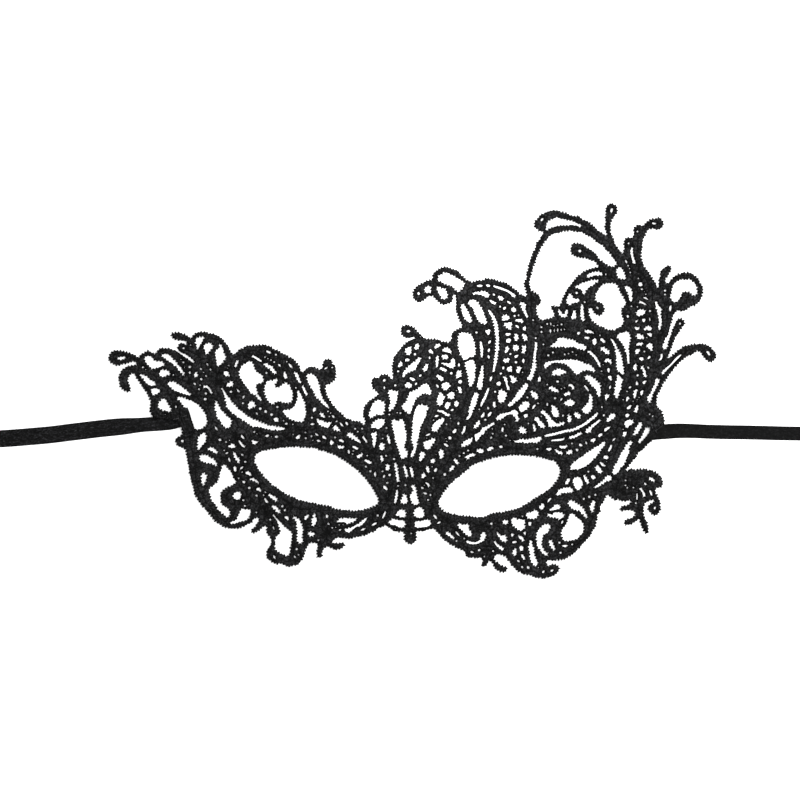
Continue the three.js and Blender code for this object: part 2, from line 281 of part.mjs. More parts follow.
// Openings under the arch
const OPEN_RIGHT_ARCH = [
  [62, 35.4, 60, 35.5, 59.5, 36.2, 58.5, 35.3, 59.7, 31.2, 54.3, 29.8, 53.3, 30, 52, 35, 52.3, 35.9, 53.9,
   36.6, 54, 38, 53.2, 40.3, 49.7, 42.9, 49.3, 46.4, 53.7, 59.1, 57.1, 64.3, 59, 65.9, 61.8, 66.6, 65, 67.2,
   69.8, 67, 74.8, 65, 78.8, 61.8, 79.7, 61.6, 86.2, 53.6, 85.1, 52.4, 83.3, 52.2, 79.2, 54.9, 77.7, 57,
   74.5, 59.7, 70, 62.1, 67.4, 61.6, 66.8, 58.2, 68.3, 56.5, 72.5, 56, 75, 55.2, 77.3, 53.8, 79, 52, 76,
   51.5, 71.3, 49.6, 68, 46.3, 65.4, 42.8, 63.4, 39.2],
  [61.5, 72.8, 58, 72, 56.2, 69.2, 56.6, 67.3, 59.1, 68.9, 66.5, 69.7, 68.6, 69.7, 71, 68.7, 71.4, 69.2,
   71.2, 69.9, 70, 70, 67.5, 71.3],
  [86.9, 51.8, 87.4, 52.2, 88.8, 51, 90, 47.2, 87.2, 47.1, 86.7, 47.7, 85.8, 50.6, 86.1, 51.4],
  [73, 48, 74.3, 49.2, 78.2, 50.2, 80.5, 49, 80.3, 48.6, 76.2, 48.4, 73.5, 47.5],
  [68, 43.6, 68.7, 44.3, 73.5, 46.2, 77.5, 46.8, 79, 46.5, 74.2, 43.1, 72, 40.3, 71.3, 42.4],
  [66.6, 41.4, 65.6, 40.2, 65.1, 38.3, 65, 37.3, 65.8, 35.6, 68.1, 37, 69.8, 37.3, 70.9, 38.8, 70, 39.1,
   68.6, 38.7, 66.9, 40.3],
  [80.8, 35, 80, 36.8, 77, 38.2, 77.1, 40, 79.7, 44.6, 83.5, 45.5, 85.5, 44.9, 86.3, 44.3, 89.8, 37.2, 89.8,
   36.2, 87.9, 34.5, 89, 29.6, 88.2, 27.5, 85.6, 25.9, 85.5, 25.2, 84.8, 25.6, 83.8, 25.4, 78.3, 27.6, 75.2,
   30.2, 74.2, 33.5, 74.8, 35.4, 75.2, 35.5, 76.7, 32.5, 78, 31.7, 79.5, 32.1, 80.2, 32.8],
  [88.9, 43.7, 89.2, 44.1, 90.8, 44.1, 92.3, 42.9, 92.6, 41, 92.1, 37, 90.3, 41.8],
  [61.6, 34.9, 63, 32.5, 63.6, 32.3, 64.2, 32.5, 64.8, 34.6, 65.2, 34.6, 65.4, 33, 64.6, 30.8, 62.5, 31.3,
   61.6, 32.8],
  [71.5, 36.8, 71, 36, 70.8, 31, 71.5, 29.3, 72.9, 29.1, 72.9, 30, 72.2, 30.5, 72.1, 35.5],
  [94.6, 33.8, 96, 34.6, 97.8, 34.3, 98.1, 33.5, 97.8, 32.7, 96.4, 31.7, 94.8, 31.5, 93.8, 32.6, 93.9,
   33.3],
  [110, 44.8, 112, 46.7, 115.6, 47.1, 117.4, 46.7, 119.5, 44.3, 119.8, 40.8, 118.4, 39.9, 116.2, 41.5,
   114.8, 41.8, 113.3, 41.2, 112.8, 39.1, 110.3, 37.3, 108.8, 38.6, 108.4, 40],
  [102, 38.2, 103.1, 37.9, 103, 36.5, 104.8, 34.6, 104.5, 32.5, 104.9, 29.5, 104.4, 25.7, 103.9, 25.7,
   103.3, 27.3, 103.8, 29],
];
// Openings of the right fan
const OPEN_RIGHT_WING = [
  [55.3, -18.7, 67.4, -15.6, 71.8, -13.8, 78.2, -8.8, 77.6, -10.6, 73.2, -14, 67.8, -16.9, 65.3, -17.1,
   59.2, -18.7, 56.1, -19.1, 55.3, -19.1],
  [72.6, -17.3, 73, -17.6, 75.2, -17.1, 75.2, -16.4, 79.3, -12.1, 79.3, -11.6, 73.6, -15.8],
  [79.4, 19.1, 82.9, 16.9, 83, 15.3, 82.3, 15, 81.6, 15.3, 80, 17, 79.2, 17.1],
  [82.8, 22.1, 83.4, 22.2, 84.6, 21.2, 87.9, 15.2, 89, 9, 88.6, 6.5, 87, 7.9, 86.2, 8, 85.6, 16, 84, 20.9],
  [91.1, 24.9, 91.8, 21, 91.3, 19, 91.2, 12, 90.8, 11.1, 89.7, 16.8, 86, 23.1, 86.5, 23.8],
  [86.5, 7.1, 88.4, 5, 87.2, -1, 86, -3.2, 85, -1.5, 85.1, 0.6],
  [57.6, 18.4, 59.6, 19.9, 61.6, 22.3, 62.5, 22.5, 68.4, 21.4, 69.6, 20.2, 72.2, 19.6, 73.4, 18.4, 73.4,
   17.7, 72.1, 17.1, 67.8, 18.4],
  [73.4, 16.9, 74.2, 17.2, 74.9, 16.9, 77.5, 14.2, 78.9, 11.8, 79.6, 9.6, 79.3, 9.3, 76.3, 14.1],
  [61.5, 12.9, 67.5, 13.2, 74.2, 11.3, 76, 9.8, 77, 8.4, 76.9, 7.9, 74.6, 8.7, 72.6, 8.7, 69.2, 6.9, 68.5,
   7.1, 66.5, 9.8, 64.3, 11.3, 61, 12, 59.3, 11.9, 56.9, 10.3, 56, 8.9, 55.6, 11, 56.2, 12],
  [64.3, -4.5, 67.2, -3.3, 68.5, -5, 68.2, -5.7, 65.2, -6.3, 63.7, -5.6, 63.5, -5.1],
  [74.6, -0.9, 75.8, -3, 75.8, -7.4, 73, -9.8, 71.4, -8.3, 71.9, -7, 72.8, -6.4, 72.5, -5.9, 74, -4.9, 73.5,
   -4.2, 74.3, -4.1],
  [72.5, 6, 74, 6.8, 75, 6.5, 77.2, 5.1, 78.8, 3.3, 79.4, 1.5, 78.8, -3.2, 77.2, 0.2, 74.5, 3.7, 72.5, 5.4],
  [83.4, -9.5, 85.1, -9.1, 86, -9.6, 86, -10.2, 84, -12, 81.7, -13.2, 81.4, -12.8],
  [95.7, -12.8, 96.8, -14.2, 96, -16, 93.8, -18.8, 92.4, -19],
  [89.7, -12.3, 92.7, -12, 92.8, -13.8, 91, -14.8, 90.9, -15.7, 90.4, -15.8, 89.1, -14],
  [113.6, 15.7, 107, 8.9, 105.7, 6.8, 104.6, 6.8, 104.9, 8.2, 108.4, 11, 111.2, 14.2],
  [98.8, -14.6, 99.6, -15, 100.1, -16.3, 98.7, -18.6, 95.1, -22.6, 94.9, -22, 95.6, -20],
  [103.1, 5.6, 104.2, 4.2, 101.8, 0, 100, -5.4, 99, -4.2, 99, -2.6, 101.5, 2, 102.5, 5.2],
];
// Openings of the scrolls below the right tie
const OPEN_RIGHT_LOW = [
  [66.7, -31, 70.8, -27.8, 81.4, -20.9, 79.6, -24.8, 76.8, -28.3, 73.4, -31.3, 70, -32.8, 68, -33, 66.9,
   -33.8],
  [91.9, -21, 92.7, -21.1, 92.6, -22, 91.4, -23.7, 91.4, -26.2, 90.7, -26.8, 89.2, -30.5, 85.3, -35.4, 84,
   -34.2, 84, -33.5, 89.1, -24, 91, -21.3],
  [68, -36.6, 70.6, -36.1, 72, -39, 69.9, -42, 69.3, -41.8, 67.3, -38.5, 67.5, -37],
  [83, -35, 84, -36.4, 83.3, -37.8, 81.8, -37.9, 79.6, -39.6, 76.5, -41.1, 76.4, -40.5],
  [60.1, -43.4, 60.9, -42.9, 60.9, -42, 64.2, -40.5, 66.7, -40.6, 68.1, -42, 67.8, -42.5, 66.4, -42.5, 65.8,
   -43.1, 63.3, -42.9, 61.2, -44],
  [65.4, -46.5, 65.8, -45.9, 67.6, -46.1, 70.7, -47.9, 73, -50.9, 73.9, -53.2, 73.6, -53.7, 70, -50.1, 69.2,
   -50.2, 66.3, -48.7],
  [66.4, -51.3, 67.8, -51.6, 70.6, -53.9, 71.7, -55.5, 72.2, -58.6, 70.1, -61.6, 66.2, -63, 63.6, -62.5,
   62.8, -60.7, 63.2, -57.5, 65, -55.7],
];
const OPENINGS = [
  ...OPEN_LEFT_END, ...OPEN_LEFT_BROW, ...OPEN_LEFT_CHEEK, ...OPEN_CREST,
  ...OPEN_RIGHT_CHEEK, ...OPEN_RIGHT_ARCH, ...OPEN_RIGHT_WING, ...OPEN_RIGHT_LOW,
];

// Each tie's middle line where it lies flat, from its sewn end outwards
const LEFT_TIE = [
  [-94, -12.4], [-96.2, -12.7], [-98.6, -13], [-102, -13.4], [-107, -13.8], [-112, -14.1],
  [-118, -14.6], [-127, -15.4], [-135, -16.3], [-144, -17.4], [-152, -18.4], [-161, -19.2],
  [-170, -19.9], [-178, -20.3], [-186, -20.5],
];
const RIGHT_TIE = [
  [100.6, -17.5], [103, -17.3], [105.6, -17.1], [108.5, -16.9], [112, -16.7], [118, -16.8], [125, -17.1],
  [133, -17.3], [141, -17.4], [149, -17.6], [157, -17.8], [166, -17.9], [175.5, -18],
];

// Materials
const thread = new THREE.MeshStandardMaterial({ color: 0x1c1c1e, roughness: 0.85, metalness: 0 });
const satin = new THREE.MeshStandardMaterial({ color: 0x222224, roughness: 0.5, metalness: 0 });

function pairs(list) {
  const points = [];
  for (let i = 0; i < list.length; i += 2) {
    points.push(new THREE.Vector2(list[i], list[i + 1]));
  }
  return points;
}

// An eye hole's round edge: a smooth closed curve through its points
function eyeLoop(list) {
  const corners = pairs(list).map((p) => new THREE.Vector3(p.x, p.y, 0));
  const curve = new THREE.CatmullRomCurve3(corners, true, 'centripetal');
  return curve.getSpacedPoints(EYE_STEPS).slice(0, EYE_STEPS).map((p) => new THREE.Vector2(p.x, p.y));
}

// A closed loop moved outwards by a distance, along the normal at each of its points
function offsetLoop(loop, distance) {
  const side = THREE.ShapeUtils.isClockWise(loop) ? -1 : 1;
  return loop.map((p, i) => {
    const before = loop[(i + loop.length - 1) % loop.length];
    const after = loop[(i + 1) % loop.length];
    const along = after.clone().sub(before).normalize();
    return new THREE.Vector2(p.x + along.y * side * distance, p.y - along.x * side * distance);
  });
}

function slab(outline, holes, bottom, top) {
  const shape = new THREE.Shape(THREE.ShapeUtils.isClockWise(outline) ? outline.toReversed() : outline);
  for (const hole of holes) {
    shape.holes.push(new THREE.Path(hole));
  }
  const geometry = new THREE.ExtrudeGeometry(shape, { depth: top - bottom, bevelEnabled: false });
  return geometry.translate(0, 0, bottom);
}

const wasm = await Module();
wasm.setup();

function toSolid(geometry) {
  const bare = geometry.clone();
  bare.deleteAttribute('normal');
  bare.deleteAttribute('uv');
  const merged = mergeVertices(bare, WELD);
  return new wasm.Manifold(new wasm.Mesh({
    numProp: 3,
    vertProperties: new Float32Array(merged.attributes.position.array),
    triVerts: new Uint32Array(merged.index.array),
  }));
}

function toGeometry(solid) {
  const mesh = solid.getMesh();
  const geometry = new THREE.BufferGeometry();
  geometry.setAttribute('position', new THREE.BufferAttribute(mesh.vertProperties, 3));
  geometry.setIndex(new THREE.BufferAttribute(mesh.triVerts, 1));
  geometry.computeVertexNormals();
  return geometry;
}

// Plan outline of a flat band along a middle line
function bandOutline(middle, width) {
  const line = middle.map(([x, y]) => new THREE.Vector2(x, y));
  const sides = [[], []];
  line.forEach((p, i) => {
    const along = line[Math.min(i + 1, line.length - 1)].clone().sub(line[Math.max(i - 1, 0)]).normalize();
    sides[0].push(new THREE.Vector2(p.x - along.y * width / 2, p.y + along.x * width / 2));
    sides[1].unshift(new THREE.Vector2(p.x + along.y * width / 2, p.y - along.x * width / 2));
  });
  return [...sides[0], ...sides[1]];
}

// The lace: the flat pattern, its padded eye rims, and a shallow pocket under each sewn tie end
function laceGeometry() {
  const edge = pairs([
    ...EDGE_LEFT_BROW, ...EDGE_CREST, ...EDGE_ARCH, ...EDGE_RIGHT_FAN, ...EDGE_RIGHT_SCROLLS,
    ...EDGE_RIGHT_HEM, ...EDGE_NOSE, ...EDGE_LEFT_HEM, ...EDGE_LEFT_SIDE,
  ]);
  const eyes = [eyeLoop(LEFT_EYE), eyeLoop(RIGHT_EYE)];
  const box = new THREE.Box2().setFromPoints(edge).expandByScalar(OVERCUT);
  const cover = [
    new THREE.Vector2(box.min.x, box.min.y), new THREE.Vector2(box.max.x, box.min.y),
    new THREE.Vector2(box.max.x, box.max.y), new THREE.Vector2(box.min.x, box.max.y),
  ];
  const rims = eyes.map((eye) => offsetLoop(eye, RIM_WIDTH));
  let lace = toSolid(slab(edge, [...eyes, ...OPENINGS.map(pairs)], 0, RIM_THICK));
  lace = lace.subtract(toSolid(slab(cover, rims, LACE_THICK, RIM_THICK + OVERCUT)));
  for (const tie of [LEFT_TIE, RIGHT_TIE]) {
    const sewn = [sewnEnd(tie, -GAP), ...tie.slice(1)];
    const pocket = slab(bandOutline(sewn, TIE_WIDTH + 2 * GAP), [], -OVERCUT, POCKET_DEPTH);
    lace = lace.subtract(toSolid(pocket));
  }
  return toGeometry(lace);
}

// The first point of a middle line, moved along it by a distance
function sewnEnd(middle, distance) {
  const first = new THREE.Vector2(...middle[0]);
  const along = new THREE.Vector2(...middle[1]).sub(first).normalize();
  return first.addScaledVector(along, distance).toArray();
}

// Plan length of a middle line
function lineLength(points) {
  return points.slice(1).reduce((sum, p, i) => sum + Math.hypot(p[0] - points[i][0], p[1] - points[i][1]), 0);
}

// The tie's strip: flat on the surface, then turning on edge towards the coil
function stripGeometry(middle, towards) {
  const last = middle[middle.length - 1];
  const stations = middle.map(([x, y]) => ({ x, y, turn: 0 }));
  for (let i = 1; i <= TWIST_STEPS; i += 1) {
    const part = i / TWIST_STEPS;
    stations.push({ x: last[0] + towards * TWIST_LENGTH * part, y: last[1], turn: part * Math.PI / 2 });
  }
  const corners = [];
  stations.forEach((station, i) => {
    const before = stations[Math.max(i - 1, 0)];
    const after = stations[Math.min(i + 1, stations.length - 1)];
    const along = new THREE.Vector3(after.x - before.x, after.y - before.y, 0).normalize();
    const level = new THREE.Vector3(-along.y, along.x, 0);
    const across = level.clone().multiplyScalar(Math.cos(station.turn));
    across.z = Math.sin(station.turn);
    const thick = new THREE.Vector3().crossVectors(along, across);
    const height = TIE_WIDTH / 2 * Math.sin(station.turn) + TIE_THICK / 2 * Math.cos(station.turn);
    for (const [a, b] of [[-1, -1], [1, -1], [1, 1], [-1, 1]]) {
      corners.push(new THREE.Vector3(station.x, station.y, height)
        .addScaledVector(across, a * TIE_WIDTH / 2)
        .addScaledVector(thick, b * TIE_THICK / 2));
    }
  });
  const faces = [0, 2, 1, 0, 3, 2];
  for (let i = 0; i + 1 < stations.length; i += 1) {
    for (let k = 0; k < 4; k += 1) {
      const a = 4 * i + k;
      const b = 4 * i + (k + 1) % 4;
      // Opposite sides of the strip fold along the same diagonal, so that it keeps its thickness
      if (k < 2) {
        faces.push(a, b, b + 4, a, b + 4, a + 4);
      } else {
        faces.push(a, b, a + 4, b, b + 4, a + 4);
      }
    }
  }
  const end = 4 * (stations.length - 1);
  faces.push(end, end + 1, end + 2, end, end + 2, end + 3);
  const geometry = new THREE.BufferGeometry().setFromPoints(corners);
  geometry.setIndex(faces);
  geometry.computeVertexNormals();
  return geometry;
}

// The coil's outer shape: a ring as wide as its turns, standing on the surface
function coilGeometry(middle) {
  const straight = lineLength(middle.slice(SEWN_POINTS)) + TWIST_LENGTH + COIL_ENTRY;
  const angle = coilAngle(TIE_LENGTH - straight);
  const inner = COIL_RADIUS - COIL_PITCH * angle / (2 * Math.PI) - TIE_THICK / 2;
  const profile = [
    new THREE.Vector2(inner, 0), new THREE.Vector2(COIL_OUTER, 0),
    new THREE.Vector2(COIL_OUTER, TIE_WIDTH), new THREE.Vector2(inner, TIE_WIDTH),
    new THREE.Vector2(inner, 0),
  ];
  return new THREE.LatheGeometry(profile, COIL_SLICES).rotateX(Math.PI / 2);
}

// Angle of a spiral that starts at the coil's radius, closes by the pitch each turn and has a given length
function coilAngle(length) {
  const fall = COIL_PITCH / (2 * Math.PI);
  return (COIL_RADIUS - Math.sqrt(COIL_RADIUS ** 2 - 2 * fall * length)) / fall;
}

function addMesh(group, name, geometry, material) {
  const mesh = new THREE.Mesh(geometry, material);
  mesh.name = name;
  group.add(mesh);
  return mesh;
}

const mask = new THREE.Group();
addMesh(mask, 'lace', laceGeometry(), thread);
for (const [side, middle, towards] of [['left', LEFT_TIE, -1], ['right', RIGHT_TIE, 1]]) {
  addMesh(mask, `ribbon_${side}`, stripGeometry(middle, towards), satin);
  const last = middle[middle.length - 1];
  const coil = addMesh(mask, `ribbon_${side}_coil`, coilGeometry(middle), satin);
  const reach = TWIST_LENGTH + COIL_ENTRY;
  coil.position.set(last[0] + towards * reach, last[1] - COIL_RADIUS, 0);
}

export default mask;
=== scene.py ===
"""A black lace masquerade mask lying on its back, with a satin ribbon tie sewn behind each side."""
import math

import bpy
import bmesh
import numpy as np
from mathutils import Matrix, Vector, kdtree
from mathutils.bvhtree import BVHTree
from mathutils.geometry import delaunay_2d_cdt


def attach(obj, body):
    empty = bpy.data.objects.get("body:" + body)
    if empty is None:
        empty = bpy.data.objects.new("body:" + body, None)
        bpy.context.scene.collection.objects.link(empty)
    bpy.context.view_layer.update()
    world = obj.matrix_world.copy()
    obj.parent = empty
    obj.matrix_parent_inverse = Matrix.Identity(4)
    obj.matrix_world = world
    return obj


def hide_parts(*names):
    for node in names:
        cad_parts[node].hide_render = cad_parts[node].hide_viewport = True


MM = 0.001
TAU = 2 * math.pi
# Too small to matter, whatever the unit
TINY = 1e-6
SEED = 7

# Lace edges, in millimetres. The solid's loops are read where a level cut passes above its tie pockets
CUT_HEIGHT = 0.9
# Points of the solid that lie nearer to each other than this are one
WELD = 0.001
# The thread turns at the edge about every 0.4 mm: drawn three times as coarse, so that it shows
STITCH_PITCH = 1.3
EDGE_STEP = STITCH_PITCH / 2
STITCH_DEPTH = 0.95
# Each turn takes its own share of the depth, from the first to the second
TURN_SHARES = (0.1, 1.3)
# Loops shorter than the first length keep a smooth edge, and from the second on they have the full depth
SMOOTH_LOOP = 5
STITCHED_LOOP = 10
# Strands and openings up to the first width have this share of the depth, and from the second on all of it
THIN_WALL = 0.6
FULL_WALL = 1.5
THIN_SHARE = 0.1
# Points this near along the same loop don't count as its other side
NEIGHBOURS = 3
# Soft shadows thin out slim openings and slim strands, so each side of one is drawn up to this much wider
SLIM_GROWTH = 0.18
# How far the loose turns of thread spread past the plain outline
EDGE_SPREAD = 0.11
# How finely a loop's curve is worked out before its points are spread evenly
CURVE_STEP = 0.15
LEAST_POINTS = 8
EYELET_POINTS = 10
# Corners that turn by less than this sine are straight
STRAIGHT = 0.01

# Free mesh points on the face and the back: how far apart, and how far from an edge, in millimetres
FACE_STEP = 0.65
FACE_CLEAR = 0.35
BACK_STEP = 1.6
BACK_CLEAR = 0.6
# They are moved by up to this share of their distance, so that no rows show
SCATTER = 0.12

# Lace relief, in millimetres: sides, the cord along every edge, dished fields, and padding round the eyes
SIDE_HEIGHT = 0.42
CORD_RISE = 0.86
CORD_RADIUS = 1.05
FIELD_DIP = 0.3
FIELD_START = 1.2
FIELD_END = 2.2
RIM_RISE = 0.45
RIM_WIDTH = 2.7
# The lace stays lifted this far past a tie that lies under it, and comes down over this width
COVER_CLEAR = 0.5
COVER_SLOPE = 1.2

# Tie sizes, in millimetres
TIE_WIDTH = 6.5
TIE_THICK = 0.3
TIE_LENGTH = 420
TIE_STEP = 2
COIL_RADIUS = 38
COIL_PITCH = 6.5
TWIST_LENGTH = 24
# Room between a tie and the lace over it, and between the end of a twist and the coil
GAP = 0.3
# Turned on edge, a tie runs straight for this long before it bends, which leaves that room
COIL_OUTER = COIL_RADIUS + TIE_THICK / 2
COIL_ENTRY = math.sqrt((COIL_OUTER + GAP) ** 2 - (COIL_RADIUS - TIE_THICK / 2) ** 2)
ENTRY_STEPS = 4
# The tie's first points lie behind the lace, and its free length starts at this one
SEWN_POINTS = 2
# The weave's thickness as a share of its woven edge's, and that edge's width as a share of half the tie's
WEAVE_SHARE = 0.72
SELVEDGE_SHARE = 0.09
# How steeply the tie's outer sides close, and how many steps there are from one to the other
SIDE_SLOPE = 3
SECTION_STEPS = 12

# Each tie's middle line where it lies flat, from its sewn end outwards, in metres
LEFT_TIE = [
    (-0.094, -0.0124), (-0.0962, -0.0127), (-0.0986, -0.013), (-0.102, -0.0134), (-0.107, -0.0138),
    (-0.112, -0.0141), (-0.118, -0.0146), (-0.127, -0.0154), (-0.135, -0.0163), (-0.144, -0.0174),
    (-0.152, -0.0184), (-0.161, -0.0192), (-0.17, -0.0199), (-0.178, -0.0203), (-0.186, -0.0205),
]
RIGHT_TIE = [
    (0.1006, -0.0175), (0.103, -0.0173), (0.1056, -0.0171), (0.1085, -0.0169), (0.112, -0.0167),
    (0.118, -0.0168), (0.125, -0.0171), (0.133, -0.0173), (0.141, -0.0174), (0.149, -0.0176),
    (0.157, -0.0178), (0.166, -0.0179), (0.1755, -0.018),
]

# Each tie isn't quite flat: distance from its sewn end and width seen from above, in millimetres
LEFT_WIDTHS = [
    (0, 4.1), (3, 4.6), (7, 6), (18, 6.05), (21, 6.15), (24.5, 6.65), (28, 7.1), (31, 7.2), (79, 7.2),
    (92, TIE_WIDTH),
]
RIGHT_WIDTHS = [(0, 6.3), (8, 6.3), (14.5, 6.1), (18, 5.95), (62, 5.9), (74, TIE_WIDTH)]

# Each tie's cut end, folded forward and down along a strand: x, y and width in millimetres
LEFT_TAIL = [
    (-95.9, -7.4, 3.6), (-95.3, -9.2, 4), (-94.7, -12.2, 4.4), (-94, -14.5, 4.6), (-93.4, -16.4, 4.7),
    (-93.1, -17.7, 4.5),
]
RIGHT_TAIL = [
    (102, -17.9, 3.6), (100.9, -18.4, 3), (99.6, -19.6, 2.5), (97.8, -21.5, 2.4), (95.9, -23.5, 2.3),
    (94.8, -24.7, 2),
]
# A folded end rests on the highest of three places: its middle, and this share of its width to each side
TAIL_PROBE = 1 / 3

# Hand stitches over each sewn end: from x, y to x, y in millimetres
LEFT_STITCHES = [
    (-100.4, -12, -97.7, -11.4), (-96.2, -10.8, -94.5, -10.3), (-95.1, -12, -94, -11.8),
]
RIGHT_STITCHES = [
    (100, -12.8, 101.4, -17), (102.2, -16.7, 105.2, -14.4), (101.3, -15.8, 102.8, -17.5),
]
SEWING_THICK = 0.35
# How high a stitch arches above what it passes over
SEWING_LIFT = 0.4
SEWING_RINGS = 11
SEWING_SIDES = 6

